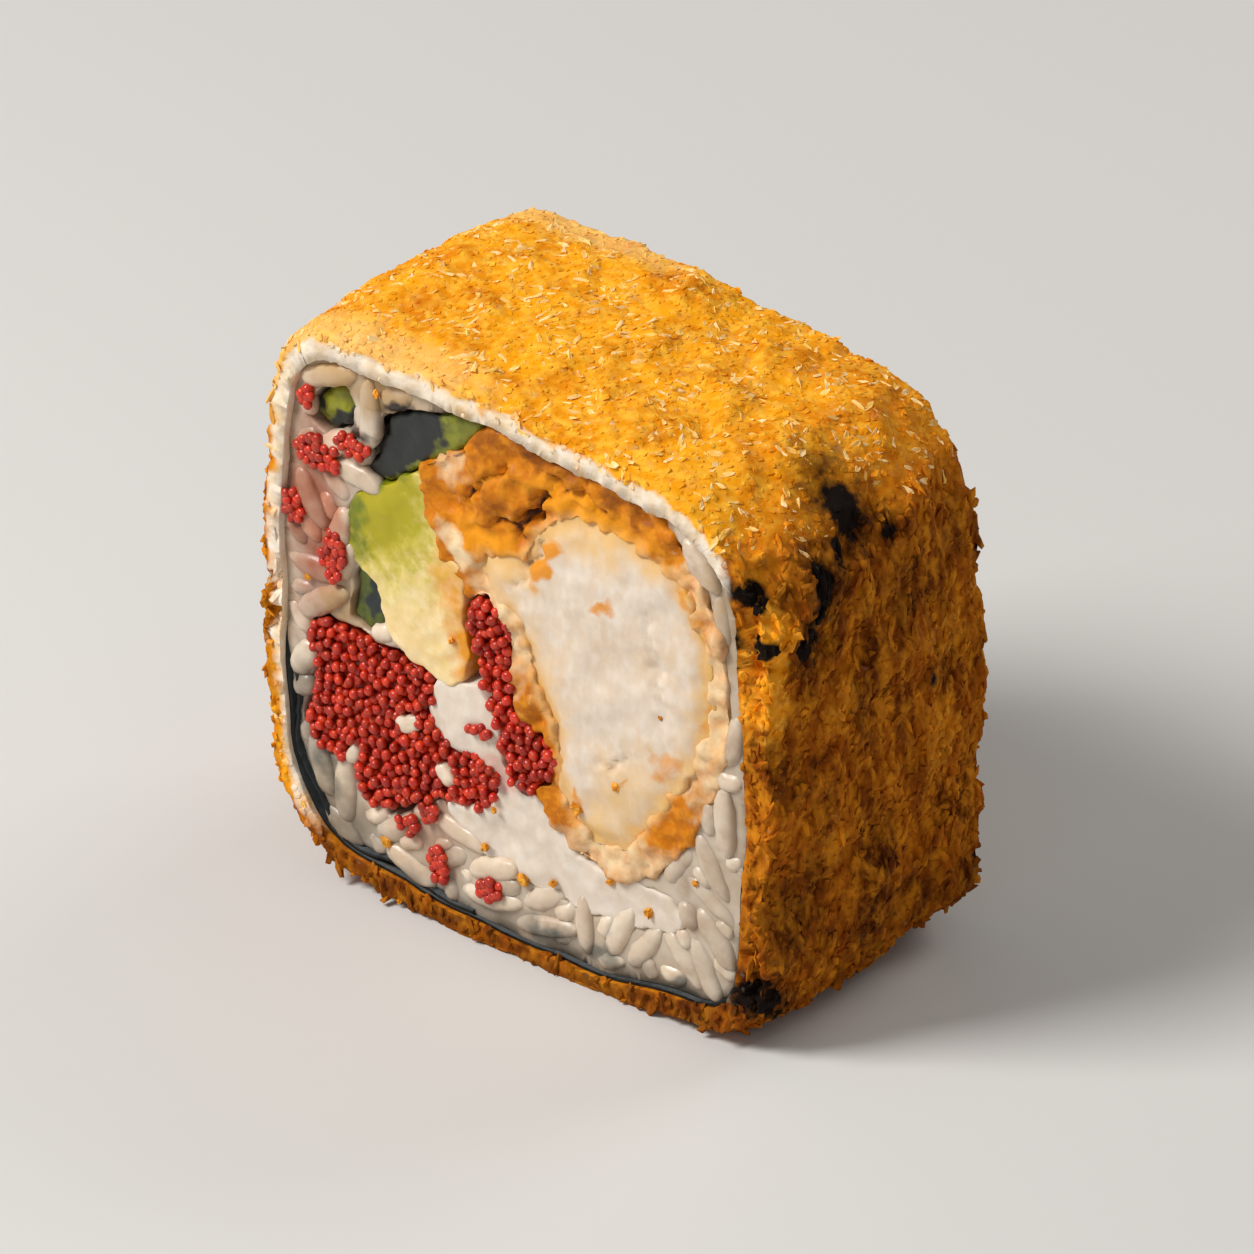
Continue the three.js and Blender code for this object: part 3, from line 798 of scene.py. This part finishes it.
def buildCrust():
    piece = remeshed("crumb_coat", "crust", crust["voxel"], 2)
    closeUp(piece, surfaces["nori_wrap"], crust["closeReach"], crust["closeOver"])
    places, rim = corners(piece), crust["rim"]
    out = np.abs(places[:, 1]) / mm
    filled = smoothStep(*rim["from"], out) * smoothStep(*rim["side"], places[:, 0] / mm)
    places[:, 1] += np.sign(places[:, 1]) * rim["share"] * filled * np.maximum(rim["to"] - out, 0) * mm
    setCorners(piece, places)
    squareCut(piece, **crust["cut"])
    masks = crustMasks(piece)
    setGroup(piece, "crags", masks["crags"])
    setGroup(piece, "cut", masks["cut"])
    addRelief(piece, "crag", crust["crags"], "crags", crust["cragsMiddle"])
    addRelief(piece, "bready", crust["bready"], "cut")
    places = corners(piece)
    places[:, 1] -= np.sign(places[:, 1]) * ellipses(places, crust["gaps"]) * masks["cut"] * mm
    setCorners(piece, places)
    masks = crustMasks(piece)
    tones = [(maskName, crust.get(look, look), soft) for maskName, look, soft in crust["tones"]]
    for maskName in [tone[0] for tone in tones] + ["crusty", "flecky", "feathered"]:
        setMask(piece, maskName, masks[maskName])
    crumb = foodMaterial("fried crumb", crust["look"], tones)
    fleck = foodMaterial("pale fleck", crust["fleckLook"])
    scattered = [
        scatterOn(piece, name, kind, crust["seed"] + 10 * index)
        for index, (name, kind) in enumerate(crust["scatter"].items())
    ]
    evenTone(piece, 0.5)
    for part in [piece, *scattered]:
        keepAboveTable(part)
        keepWithinCut(part, cutEnds["crustReach"])
        paintWith(part, fleck if part.name == "flecks" else crumb, smooth=part is piece)
        print(part.name, "has", len(part.data.polygons), "faces")
    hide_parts("crumb_coat")


buildCrust()
print("crust is done")


# The soft fillings: each the frame's solid, remeshed and a little swollen, with its cut ends in relief
# Masks and dents are ellipses on the cut
# A rim is a mask along a neighbour: its colour, how soft its edge is, the neighbour, its reach and strength

fillings = {
    "prawn": {
        "slot": "prawn", "voxel": 0.3, "swell": 0.3, "level": 12.25,
        "relief": [("CLOUDS", 5.0, 0.8), ("CLOUDS", 1.8, 0.24)],
        "look": {
            "main": "#D9C7B3", "deep": "#D8BC98", "light": "#E6DACC", "patch": 3.4, "speck": 1.0,
            "deepShare": 0.55, "lightShare": 0.5, "stretch": (1.2, 1, 0.8), "rough": 0.45, "bump": 0.35,
            "glow": 0.25, "glowReach": (1, 0.8, 0.55), "glowDepth": 1.2, "shine": 0.35, "wet": 0.06,
            "edge": 1.8,
        },
        "rims": {"rimmed": ("#DFA64E", 0.34, "prawn_batter", (0.1, 2.2), 0.7)},
        "masks": {
            "yellowed": ("#DFB26A", 0.45, [
                (11.5, 16.0, 5.5, 4.2, 30, 0.55), (2, 25, 2.0, 6, 25, 0.42), (17.6, 26, 1.6, 8, -8, 0.5),
                (7, 38.0, 8, 2.4, 5, 0.6), (7, 13.4, 3.4, 1.6, 20, 0.6), (-1.2, 33.0, 3.0, 2.2, 0, 0.75),
            ]),
            "stained": ("#D88A1E", 0.22, [
                (8.4, 32.4, 1.1, 0.7, 40, 0.66), (14.2, 21.2, 1.9, 1.2, 45, 0.62),
                (18.3, 27, 0.8, 2.4, -25, 0.6), (12.6, 14.6, 2.2, 0.6, 35, 0.6),
                (10.1, 18.2, 0.8, 0.3, 45, 0.64), (2.7, 34.0, 0.7, 2.6, -32, 0.86),
                (5.6, 15.4, 0.9, 0.5, 60, 0.6), (16.6, 34.8, 0.7, 2.0, 35, 0.62),
            ]),
        },
        "sunkRim": ("prawn_batter", (0.3, 1.9), 0.36),
        "dents": [
            (1.4, 33.4, 0.4, 2.6, -32, 0.6), (2.9, 34.2, 0.6, 2.4, -32, -0.5), (9.4, 20.0, 2.2, 0.3, 30, 0.3),
            (13.2, 29.0, 0.4, 5.0, 12, 0.25),
        ],
    },
    "prawn_batter": {
        "slot": "tempura_batter", "voxel": 0.3, "swell": 0.3, "level": 12.1,
        "relief": [("CLOUDS", 3.2, 1.2), ("VORONOI", 1.8, 0.7), ("CLOUDS", 0.8, 0.4)],
        "look": {
            "main": "#C87203", "deep": "#9E5402", "light": "#E4961E", "patch": 2.4, "speck": 0.7,
            "deepShare": 0.8, "lightShare": 0.5, "rough": 0.5, "bump": 0.7, "wet": 0.04, "shine": 0.18,
        },
        "rims": {"creamed": ("#E6BE80", 0.4, "prawn", (0.2, 1.3), 0.5)},
        "masks": {
            "bright": ("#EC9A14", 0.4, [
                (6.6, 39.6, 6.0, 1.3, -6, 0.7), (-3.0, 34.0, 3.4, 1.3, -8, 0.66),
                (19.2, 25.6, 0.9, 3.0, 0, 0.6), (15.6, 36.6, 0.8, 2.6, 40, 0.6),
            ]),
            "creamy": ("#E6CBA0", 0.35, [
                (19, 27, 2.8, 10, -6, 0.62), (9, 11.4, 9, 2.2, 10, 0.62), (-1.6, 27.6, 2.4, 4.6, 20, 0.66),
                (-5.6, 32.6, 2.3, 1.0, -40, 0.85), (-6.6, 38.6, 1.6, 1.6, 0, 0.5), (17, 37, 2.4, 3, 30, 0.5),
            ]),
            "browned": ("#7A3C05", 0.3, [
                (2.6, 42.6, 3.6, 1.0, -4, 0.66), (10, 41.6, 3.0, 0.7, -12, 0.6),
                (-3.6, 42.2, 2.4, 0.7, 25, 0.5),
            ]),
            # Cracks in the batter, dented below, coloured dark brown partly as painted shadow in them
            "cracked": ("#3E1A03", 0.14, [
                (-3.3, 38.3, 2.7, 0.26, 44, 0.66), (1.4, 37.7, 2.8, 0.3, 56, 0.68),
                (6.0, 40.9, 3.4, 0.25, -8, 0.6), (-1.0, 35.8, 1.6, 0.22, -30, 0.6),
                (3.6, 43.0, 1.6, 0.4, -10, 0.66),
            ]),
        },
        "dents": [
            (-3.3, 38.3, 2.7, 0.3, 44, 0.9), (1.4, 37.7, 2.8, 0.35, 56, 1.1), (6.0, 40.9, 3.4, 0.3, -8, 0.7),
            (-1.0, 35.8, 1.6, 0.3, -30, 0.6), (3.6, 43.0, 1.6, 0.5, -10, 0.9),
        ],
    },
    "avocado": {
        "slot": "avocado", "voxel": 0.3, "swell": 0.26, "level": 12.0,
        "relief": [("CLOUDS", 4.0, 0.5), ("CLOUDS", 1.1, 0.24)],
        "look": {
            "main": "#EBCF98", "deep": "#DDB860", "light": "#F2E2BE", "patch": 2.6, "speck": 0.9,
            "deepShare": 0.45, "lightShare": 0.35, "rough": 0.42, "bump": 0.25, "glow": 0.15, "wet": 0.12,
            "shine": 0.35, "edge": 0.8,
        },
        "masks": {
            "amber": ("#DC8E14", 0.42, [(-4.2, 23.8, 2.0, 4.6, 8, 0.95), (-6.4, 28.6, 1.6, 3.6, 20, 0.7)]),
            "halfGreen": ("#C8B844", 0.4, [(-14.0, 33.4, 6.6, 7.6, 10, 0.8)]),
            "green": ("#A89C10", 0.3, [(-14.0, 34.4, 5.8, 6.0, 10, 0.92)]),
            "deepGreen": ("#6B7410", 0.3, [
                (-15.8, 31.6, 1.3, 3.8, 10, 0.78), (-12.6, 35.8, 3.0, 0.9, 35, 0.75),
            ]),
        },
    },
    "cucumber": {
        "slot": "cucumber", "voxel": 0.26, "swell": 0.2, "level": 11.6,
        "relief": [("CLOUDS", 2.0, 0.3)],
        "look": {
            "main": "#767A14", "deep": "#50560F", "light": "#9A9830", "patch": 1.6, "speck": 0.7,
            "deepShare": 0.6, "lightShare": 0.4, "rough": 0.35, "bump": 0.3, "wet": 0.15, "shine": 0.35,
        },
        "masks": {
            "skin": ("#1E211E", 0.14, [(-11.4, 39.0, 5.4, 2.3, 44, 1.0), (-9.6, 41.6, 2.4, 1.4, 10, 0.95)]),
        },
    },
    "cucumber_chip_high": {
        "slot": "cucumber", "voxel": 0.22, "swell": 0.12, "level": 11.4,
        "relief": [("CLOUDS", 1.4, 0.5), ("CLOUDS", 0.7, 0.3)],
        "look": {
            "main": "#848418", "deep": "#3A3E12", "light": "#A4A038", "patch": 1.2, "speck": 0.6,
            "deepShare": 0.8, "lightShare": 0.5, "rough": 0.4, "bump": 0.3, "wet": 0.1, "shine": 0.3,
        },
        "masks": {
            "skin": ("#2A302C", 0.16, [(-17.2, 38.2, 2.2, 1.0, 20, 0.9), (-19.6, 39.4, 0.7, 1.6, 0, 0.6)]),
        },
    },
    "cucumber_chip_low": {
        "slot": "cucumber", "voxel": 0.22, "swell": 0.12, "level": 11.5,
        "relief": [("CLOUDS", 1.4, 0.3)],
        "look": {
            "main": "#4E561A", "deep": "#262E22", "light": "#76802C", "patch": 1.2, "speck": 0.6,
            "deepShare": 0.9, "lightShare": 0.4, "rough": 0.4, "bump": 0.3, "wet": 0.1, "shine": 0.3,
        },
        "masks": {"skin": ("#262D2C", 0.16, [(-14.0, 25.2, 0.8, 2.2, 0, 0.8)])},
    },
    "cream_cheese": {
        "slot": "cream_cheese", "voxel": 0.3, "swell": 0.34, "level": 11.95,
        "relief": [("CLOUDS", 4.5, 1.0), ("CLOUDS", 1.3, 0.24)],
        "look": {
            "main": "#D9CAB8", "deep": "#C8B49C", "light": "#E8DFD3", "patch": 4.0, "speck": 1.1,
            "deepShare": 0.5, "lightShare": 0.4, "rough": 0.5, "bump": 0.25, "glow": 0.2,
            "glowReach": (1, 0.85, 0.7), "wet": 0.05, "shine": 0.3,
        },
        "masks": {
            "pinked": ("#C9847A", 0.4, [(-1.5, 14.5, 2.6, 1.4, 0, 0.5), (3.2, 15.2, 1.4, 1.2, 0, 0.5)]),
        },
    },
}


def buildFilling(name, plan):
    piece = remeshed(name, name + "_flesh", plan["voxel"], 6)
    finishWith(piece, "DISPLACE", strength=plan["swell"] * mm, mid_level=0)
    squareCut(piece, cutEnds["relief"][0], plan["level"])
    unevenOutline(piece)
    setGroup(piece, "cuts", smoothStep(*cutEnds["relief"], np.abs(corners(piece)[:, 1]) / mm))
    addRelief(piece, name, plan["relief"], "cuts")
    places = corners(piece)
    cutSide = np.sign(places[:, 1]) * smoothStep(*cutEnds["relief"], np.abs(places[:, 1]) / mm)
    for dent in plan.get("dents", []):
        places[:, 1] -= cutSide * ellipses(places, [dent]) * mm
    # A rim that runs into its neighbour sinks a little
    if "sunkRim" in plan:
        neighbour, reach, depth = plan["sunkRim"]
        sunk = 1 - smoothStep(*reach, distanceTo(piece, surfaces[neighbour]))
        places[:, 1] -= cutSide * sunk * depth * mm
    setCorners(piece, places)
    keepWithinCut(piece, cutEnds["fillingReach"])
    over = []
    for maskName, (code, soft, neighbour, reach, strength) in plan.get("rims", {}).items():
        setMask(piece, maskName, strength * (1 - smoothStep(*reach, distanceTo(piece, surfaces[neighbour]))))
        over.append((maskName, code, soft))
    for maskName, (code, soft, spots) in plan["masks"].items():
        setMask(piece, maskName, ellipses(places, spots))
        over.append((maskName, code, soft))
    paintWith(piece, foodMaterial(name, plan["look"], over))
    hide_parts(name)
    print(piece.name, "has", len(piece.data.polygons), "faces")


for name, plan in fillings.items():
    buildFilling(name, plan)
print("fillings are done")


# Rice: the frame's heap as a smooth core, with real grains pressed into both cuts

rice = {
    "voxel": 0.36, "closeReach": 0.9, "closeOver": 0.16,
    # Left of and below this place the sheet's end lies in between, so the core isn't drawn up to the sheet
    "sheetEnd": (-6, 15),
    "core": {"start": 10.4, "level": 11.85, "give": 0.6},
    # A grain's bend, taper, and how blunt its ends are
    "bend": 0.07, "taper": 0.16, "blunt": 2.6, "ruffle": 0.02, "shapes": 4,
    # Tries in each pass of grains, and the part of the cut that they are tried in, across and up
    "tries": 5000, "field": ((-22.4, 21.6), (1.6, 44)),
    # Passes of grains: length, width, room between axes, how far out they lie, share of the axis over rice
    "passes": [
        {"length": (4.8, 6.2), "width": (2.1, 2.5), "clear": 1.45, "layer": (11.3, 11.6), "ends": 1},
        {"length": (3.8, 5.0), "width": (2.0, 2.4), "clear": 1.25, "layer": (11.2, 11.5), "ends": 0.8},
        {"length": (2.4, 3.4), "width": (1.8, 2.2), "clear": 1.0, "layer": (11.2, 11.5), "ends": 0.7},
        {"length": (1.8, 2.4), "width": (1.5, 1.9), "clear": 0.85, "layer": (11.2, 11.6), "ends": 0.4},
    ],
    "axisHalf": 0.36, "dip": 0.14, "flatness": (0.86, 1), "fromSheet": 0.5, "room": 0.6,
    # Grains astray on the roe: x, z, turn in degrees, length, width
    "strays": [(-10.4, 15.8, 25, 2.6, 1.7), (-6.9, 12.7, -40, 2.2, 1.5), (-15.8, 11.2, 70, 1.8, 1.3)],
    "strayDepth": 11.9, "uneven": [("CLOUDS", 1.6, 0.42), ("CLOUDS", 0.6, 0.16)],
    "cutStart": 12.0, "cutRoom": 0.5,
    "look": {
        "main": "#CEBAA2", "deep": "#B59C80", "light": "#E4D8C6", "patch": 3.4, "speck": 1.6,
        "deepShare": 0.7, "lightShare": 0.4, "rough": 0.32, "bump": 0.4, "bumpDepth": 0.14, "tone": 0.2,
        "glow": 0.4, "glowReach": (1, 0.85, 0.7), "glowDepth": 1.2, "shine": 0.45, "wet": 0.16, "edge": 2.2,
    },
    "masks": {
        "pinked": ("#A0522F", 0.45, [(-19.4, 30, 2.8, 8.0, 0, 0.8), (-9.5, 8.5, 3.2, 3.2, 0, 0.42)]),
        "soaked": ("#B08A50", 0.4, [
            (-14, 42.4, 7.0, 1.8, -4, 0.7), (-16.6, 23.6, 2.0, 2.6, 0, 0.6), (-18, 6.6, 3.4, 3.2, 0, 0.4),
            (-5, 31, 3, 8, 0, 0.3), (19.6, 36, 1.5, 5, 10, 0.36),
        ]),
        "shaded": ("#6A645A", 0.45, [
            (0, 2.2, 22, 1.6, 0, 0.56), (-20.6, 11, 1.6, 6, 0, 0.66), (-17.4, 5.6, 5, 3, -45, 0.58),
        ]),
        # Painted shade: grey patches low on the rice and in the gap beside the sheet's overlap
        "slate": ("#50544C", 0.3, [
            (2.7, 2.6, 1.6, 1.0, 0, 0.62), (8.2, 2.8, 2.4, 0.8, 0, 0.64), (15.7, 3.0, 1.9, 0.6, 0, 0.6),
            (-18.2, 9.6, 1.2, 2.6, 20, 0.6),
        ]),
        # Painted shadow on the rice under the crust's top edge, above the cucumber
        "dark": ("#2A180C", 0.25, [(-9.6, 41.9, 4.2, 0.7, 8, 0.85), (-15.2, 38.6, 2.6, 0.7, -10, 0.72)]),
    },
}


def grainShape(name, seed):
    bpy.ops.object.select_all(action="DESELECT")
    bpy.ops.mesh.primitive_uv_sphere_add(segments=10, ring_count=8, radius=0.5 * mm, location=(0, 0, 0))
    shape = bpy.context.active_object
    shape.name = name
    inEditMode(
        shape,
        lambda: bpy.ops.transform.rotate(value=math.pi / 2, orient_axis="Y", center_override=(0, 0, 0)),
        lambda: bpy.ops.transform.vertex_random(offset=rice["ruffle"] * mm, uniform=0.5, seed=seed),
    )
    # A sphere's round ends are filled out a little towards a grain's blunt ones
    places = corners(shape) / mm
    across = np.hypot(places[:, 1], places[:, 2])
    full = 0.5 * np.sqrt(np.clip(1 - (np.abs(places[:, 0]) / 0.5) ** rice["blunt"], 0, 1))
    places[:, 1:] *= (full / np.maximum(across, 1e-3))[:, None]
    places[:, 1:] *= (1 - rice["taper"] * places[:, :1])
    places[:, 2] += rice["bend"] * (4 * places[:, 0] ** 2 - 0.3)
    setCorners(shape, places * mm)
    return shape


# One copy of a shape with its own mesh, sized, turned and placed, with its own tone
def placeCopy(shape, size, turn, place):
    copy = shape.copy()
    copy.data = shape.data.copy()
    bpy.context.scene.collection.objects.link(copy)
    copy.data.transform(Matrix.Translation(place) @ turn.to_4x4() @ Matrix.Diagonal((*size, 1)))
    setMask(copy, "tone", np.full(len(copy.data.vertices), rng.random()))
    return copy


# Five places along a grain's middle, as (x, z)
def grainAxis(x, z, angle, length, share=1):
    half = length * rice["axisHalf"] * share
    return [(x + k * half * math.cos(angle), z + k * half * math.sin(angle)) for k in (-1, -0.5, 0, 0.5, 1)]


# A grain's middle lies on rice with room round it, and its ends on rice or a little over the soft cheese
def fitsRice(x, z, side, room=0.0):
    if room:
        around = ((room, 0), (-room, 0), (0, room), (0, -room))
        return all(nodeAt(x + a, z + b, side) == "rice" for a, b in around)
    if nodeAt(x, z, side) not in ("rice", "cream_cheese"):
        return False
    return surfaces["nori_wrap"].find_nearest(Vector((x, 0, z)) * mm)[3] > rice["fromSheet"] * mm


# Grains are laid where all of a grain lies over rice and clear of the grains before it
def layGrains(shapes, side):
    laid, grains = [], []
    across, up = rice["field"]
    for layer in rice["passes"]:
        for _ in range(rice["tries"]):
            length, width = rng.uniform(*layer["length"]), rng.uniform(*layer["width"])
            x, z, angle = rng.uniform(*across), rng.uniform(*up), rng.uniform(0, math.pi)
            axis = grainAxis(x, z, angle, length)
            if any(math.hypot(a - c, b - d) < layer["clear"] for a, b in axis for c, d in laid):
                continue
            if not all(fitsRice(a, b, side) for a, b in grainAxis(x, z, angle, length, layer["ends"])):
                continue
            if not fitsRice(x, z, side, rice["room"]):
                continue
            laid.extend(axis)
            y = side * rng.uniform(*layer["layer"]) * mm
            turn = Euler((rng.uniform(0, math.pi), rng.uniform(-rice["dip"], rice["dip"]), 0)).to_matrix()
            turn = Matrix.Rotation(-angle, 3, "Y") @ turn
            shape = shapes[rng.randrange(len(shapes))]
            size = (length, width, width * rng.uniform(*rice["flatness"]))
            grains.append(placeCopy(shape, size, turn, Vector((x * mm, y, z * mm))))
    return grains


def buildRice():
    core = remeshed("rice", "rice_core", rice["voxel"], 4)
    endX, endZ = rice["sheetEnd"]
    closeUp(
        core, surfaces["nori_wrap"], rice["closeReach"], rice["closeOver"],
        where=lambda place: not (place[0] < endX and place[2] < endZ),
    )
    squareCut(core, **rice["core"])
    unevenOutline(core)
    evenTone(core, 0.1)
    shapes = [grainShape(f"grain{i}", 60 + i) for i in range(rice["shapes"])]
    grains = [grain for side in (-1, 1) for grain in layGrains(shapes, side)]
    for x, z, angle, length, width in rice["strays"]:
        turn = Matrix.Rotation(-math.radians(angle), 3, "Y")
        place = Vector((x, -rice["strayDepth"], z)) * mm
        grains.append(placeCopy(shapes[0], (length, width, width), turn, place))
    grains = joinPieces(grains, "rice_grains")
    finishWith(grains, "SUBSURF", levels=1, render_levels=1)
    addRelief(grains, "grain", rice["uneven"])
    levelOff(grains, rice["cutStart"], rice["cutRoom"])
    for shape in shapes:
        bpy.data.objects.remove(shape)
    material = foodMaterial("cooked rice", rice["look"], [
        (maskName, code, soft) for maskName, (code, soft, spots) in rice["masks"].items()
    ])
    for piece in (core, grains):
        for maskName, (code, soft, spots) in rice["masks"].items():
            setMask(piece, maskName, ellipses(corners(piece), spots))
        paintWith(piece, material)
        print(piece.name, "has", len(piece.data.polygons), "faces")
    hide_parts("rice")


buildRice()
print("rice is done")


# Roe: eggs heaped over both cuts of the two red fillings, and strays on the rice

roe = {
    "egg": (1.06, 0.96, 0.9), "dimple": 0.06, "voxel": 0.36, "level": 11.5, "cutStart": 12.4, "cutRoom": 0.5,
    # The part of the cut that eggs are tried in, across and up, and the passes of tries
    "field": ((-21, 5), (6, 30)),
    "passes": [
        {"tries": 16000, "radius": (0.37, 0.48), "clear": 0.66, "layer": (11.6, 11.9)},
        {"tries": 6000, "radius": (0.35, 0.46), "clear": 0.82, "layer": (12.0, 12.35)},
    ],
    # Patches of stray eggs: x, z, half width, half height
    "strays": [
        (-18.9, 35.6, 2.2, 1.3), (-21.2, 30.4, 0.8, 1.5), (-17.4, 27.4, 1.1, 2.1), (-19.9, 39.9, 0.4, 0.7),
        (-15.4, 37.4, 1.6, 0.7), (-8.4, 9.2, 0.8, 0.9), (-10.3, 7.2, 1.0, 0.6), (-7.5, 4.9, 0.7, 1.4),
        (-2.5, 4.6, 1.3, 0.8), (-3.5, 17.8, 0.9, 0.3),
    ],
    "roundStrays": 0.9, "strayTries": 400, "strayClear": 0.52, "strayLayer": (12.1, 12.5),
    "look": {
        "main": "#B4200F", "deep": "#861208", "light": "#E0501C", "patch": 1.6, "speck": 0.5,
        "deepShare": 0.6, "lightShare": 0.5, "rough": 0.3, "bump": 0.15, "tone": 0.25, "glow": 0.2,
        "glowReach": (1, 0.25, 0.15), "glowDepth": 0.6, "shine": 0.4, "wet": 0.2,
    },
}


def buildRoe():
    material = foodMaterial("fish roe", roe["look"])
    bpy.ops.object.select_all(action="DESELECT")
    bpy.ops.mesh.primitive_ico_sphere_add(subdivisions=2, radius=1 * mm, location=(0, 0, 0))
    shape = bpy.context.active_object
    inEditMode(
        shape,
        lambda: bpy.ops.transform.resize(value=roe["egg"]),
        lambda: bpy.ops.transform.vertex_random(offset=roe["dimple"] * mm, uniform=0.3, seed=5),
    )
    eggs = []

    def lay(x, z, y, radius):
        turn = Euler([rng.uniform(0, math.pi) for _ in range(3)]).to_matrix()
        eggs.append(placeCopy(shape, (radius,) * 3, turn, Vector((x * mm, y * mm, z * mm))))

    for patchX, patchZ, halfWidth, halfHeight in roe["strays"]:
        laid = []
        for _ in range(roe["strayTries"]):
            angle, reach = rng.uniform(0, 2 * math.pi), math.sqrt(rng.random())
            x = patchX + halfWidth * reach * math.cos(angle)
            z = patchZ + halfHeight * reach * math.sin(angle)
            if all(math.hypot(x - a, z - b) > roe["strayClear"] for a, b in laid):
                laid.append((x, z))
                lay(x, z, -rng.uniform(*roe["strayLayer"]), rng.uniform(*roe["passes"][0]["radius"]))
    across, up = roe["field"]
    for side in (-1, 1):
        for layer in roe["passes"]:
            laid = []
            for _ in range(layer["tries"]):
                x, z = rng.uniform(*across), rng.uniform(*up)
                if any(math.hypot(x - a, z - b) < layer["clear"] for a, b in laid):
                    continue
                if any(math.hypot(x - a, z - b) < roe["roundStrays"] for a, b, *_ in rice["strays"]):
                    continue
                if str(nodeAt(x, z, side)).startswith("roe"):
                    laid.append((x, z))
                    lay(x, z, side * rng.uniform(*layer["layer"]), rng.uniform(*layer["radius"]))
    heap = joinPieces(eggs, "roe_eggs")
    bpy.data.objects.remove(shape)
    levelOff(heap, roe["cutStart"], roe["cutRoom"])
    paintWith(heap, material)
    print(heap.name, "has", len(heap.data.polygons), "faces")
    for name in ("roe_cluster", "roe_strand"):
        core = remeshed(name, name + "_core", roe["voxel"], 4)
        squareCut(core, cutEnds["relief"][0], roe["level"])
        evenTone(core, 0.1)
        paintWith(core, material)
        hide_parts(name)


buildRoe()
print("roe is done")


# Seaweed: the frame's sheet a little crinkled, and the end of the sheet that overlaps it inside

seaweed = {
    "crinkle": 0.16, "size": 2.4, "edge": 12.1, "sunk": 0.8,
    # The overlap ends right and up of here, lies inwards of the sheet, towards a centre, and waves
    "overlap": {
        "to": (-4, 17), "centre": (-11.5, 12.8), "inwards": 0.75, "wave": 0.3, "length": 3.1,
        "alongShare": 0.4, "alongPitch": 0.7,
    },
    "look": {
        "main": "#15191A", "deep": "#080A0A", "light": "#2A3030", "patch": 2.0, "speck": 0.6,
        "deepShare": 0.7, "lightShare": 0.5, "rough": 0.42, "bump": 0.5, "shine": 0.25,
    },
}


def buildSeaweed():
    material = foodMaterial("seaweed", seaweed["look"])
    piece = copyOfNode("nori_wrap", "seaweed_sheet")
    inEditMode(piece, lambda: bpy.ops.mesh.subdivide(number_cuts=3))
    texture = roughness("crinkle", "CLOUDS", seaweed["size"])
    for direction in ("X", "Z"):
        finishWith(
            piece, "DISPLACE", texture=texture, texture_coords="LOCAL", direction=direction,
            strength=seaweed["crinkle"] * mm, mid_level=0.5,
        )
    places = corners(piece)
    lowest = (seaweed["edge"] - seaweed["sunk"] * hidden(places)) * mm
    places[:, 1] = np.clip(places[:, 1], -lowest, lowest)
    setCorners(piece, places)
    paintWith(piece, material)
    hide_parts("nori_wrap")
    plan = seaweed["overlap"]
    makeActive(piece)
    bpy.ops.object.duplicate()
    overlap = bpy.context.active_object
    overlap.name = overlap.data.name = "seaweed_overlap"
    toX, toZ = plan["to"]
    for place, normal in (((toX * mm, 0, 0), (1, 0, 0)), ((0, 0, toZ * mm), (0, 0, 1))):
        inEditMode(overlap, lambda: bpy.ops.mesh.bisect(
            plane_co=place, plane_no=normal, use_fill=True, clear_outer=True))
    places = corners(overlap)
    centre = np.array(plan["centre"]) * mm
    spokes = places[:, [0, 2]] - centre
    reach = np.hypot(spokes[:, 0], spokes[:, 1])
    angle = np.arctan2(spokes[:, 1], spokes[:, 0])
    wave = np.sin(angle * reach.mean() / mm / plan["length"] * 2)
    wave = wave + plan["alongShare"] * np.sin(places[:, 1] / mm * plan["alongPitch"])
    inwards = (plan["inwards"] + plan["wave"] * wave) * mm
    places[:, [0, 2]] -= spokes * (inwards / reach)[:, None]
    setCorners(overlap, places)
    paintWith(overlap, material)


buildSeaweed()
print("seaweed is done")


# Crumbs of the crust that fell on the shown cut

fallen = {
    # x, z, width
    "places": [
        (-3.0, 8.1, 0.7), (0.5, 6.6, 0.9), (9.6, 18.0, 0.8), (5.8, 14.7, 0.9), (3.3, 7.3, 0.6),
        (-2.1, 11.6, 0.5), (12.4, 8.2, 0.7), (16.9, 12.4, 0.5), (-12.6, 5.0, 0.8), (-6.2, 24.4, 0.5),
        (-20.0, 24.8, 0.6), (8.9, 9.6, 0.6), (13.6, 25.2, 0.5), (-13.2, 42.6, 0.6),
    ],
    "shape": (1.2, 0.7, 0.9), "ruffle": 0.22, "tilt": 0.6, "layer": (12.0, 12.3),
    "look": {
        "main": "#D9881A", "deep": "#9A5206", "light": "#F2B446", "patch": 0.8, "speck": 0.4,
        "deepShare": 0.9, "lightShare": 0.7, "rough": 0.6, "bump": 0.4, "tone": 0.2, "shine": 0.2,
    },
}


def buildFallen():
    crumbs, ruffle, tilt = [], fallen["ruffle"] * mm, fallen["tilt"]
    for index, (x, z, width) in enumerate(fallen["places"]):
        bpy.ops.object.select_all(action="DESELECT")
        bpy.ops.mesh.primitive_ico_sphere_add(subdivisions=2, radius=0.5 * mm, location=(0, 0, 0))
        shape = bpy.context.active_object
        inEditMode(
            shape,
            lambda: bpy.ops.transform.resize(value=fallen["shape"]),
            lambda: bpy.ops.transform.vertex_random(offset=ruffle, uniform=0.4, seed=80 + index),
        )
        turn = Euler([rng.uniform(-tilt, tilt), rng.uniform(0, math.pi), 0]).to_matrix()
        place = Vector((x, -rng.uniform(*fallen["layer"]), z)) * mm
        crumbs.append(placeCopy(shape, (width,) * 3, turn, place))
        bpy.data.objects.remove(shape)
    heap = joinPieces(crumbs, "fallen_crumbs")
    paintWith(heap, foodMaterial("fallen crumb", fallen["look"]), smooth=False)


buildFallen()
print("fallen crumbs are done")
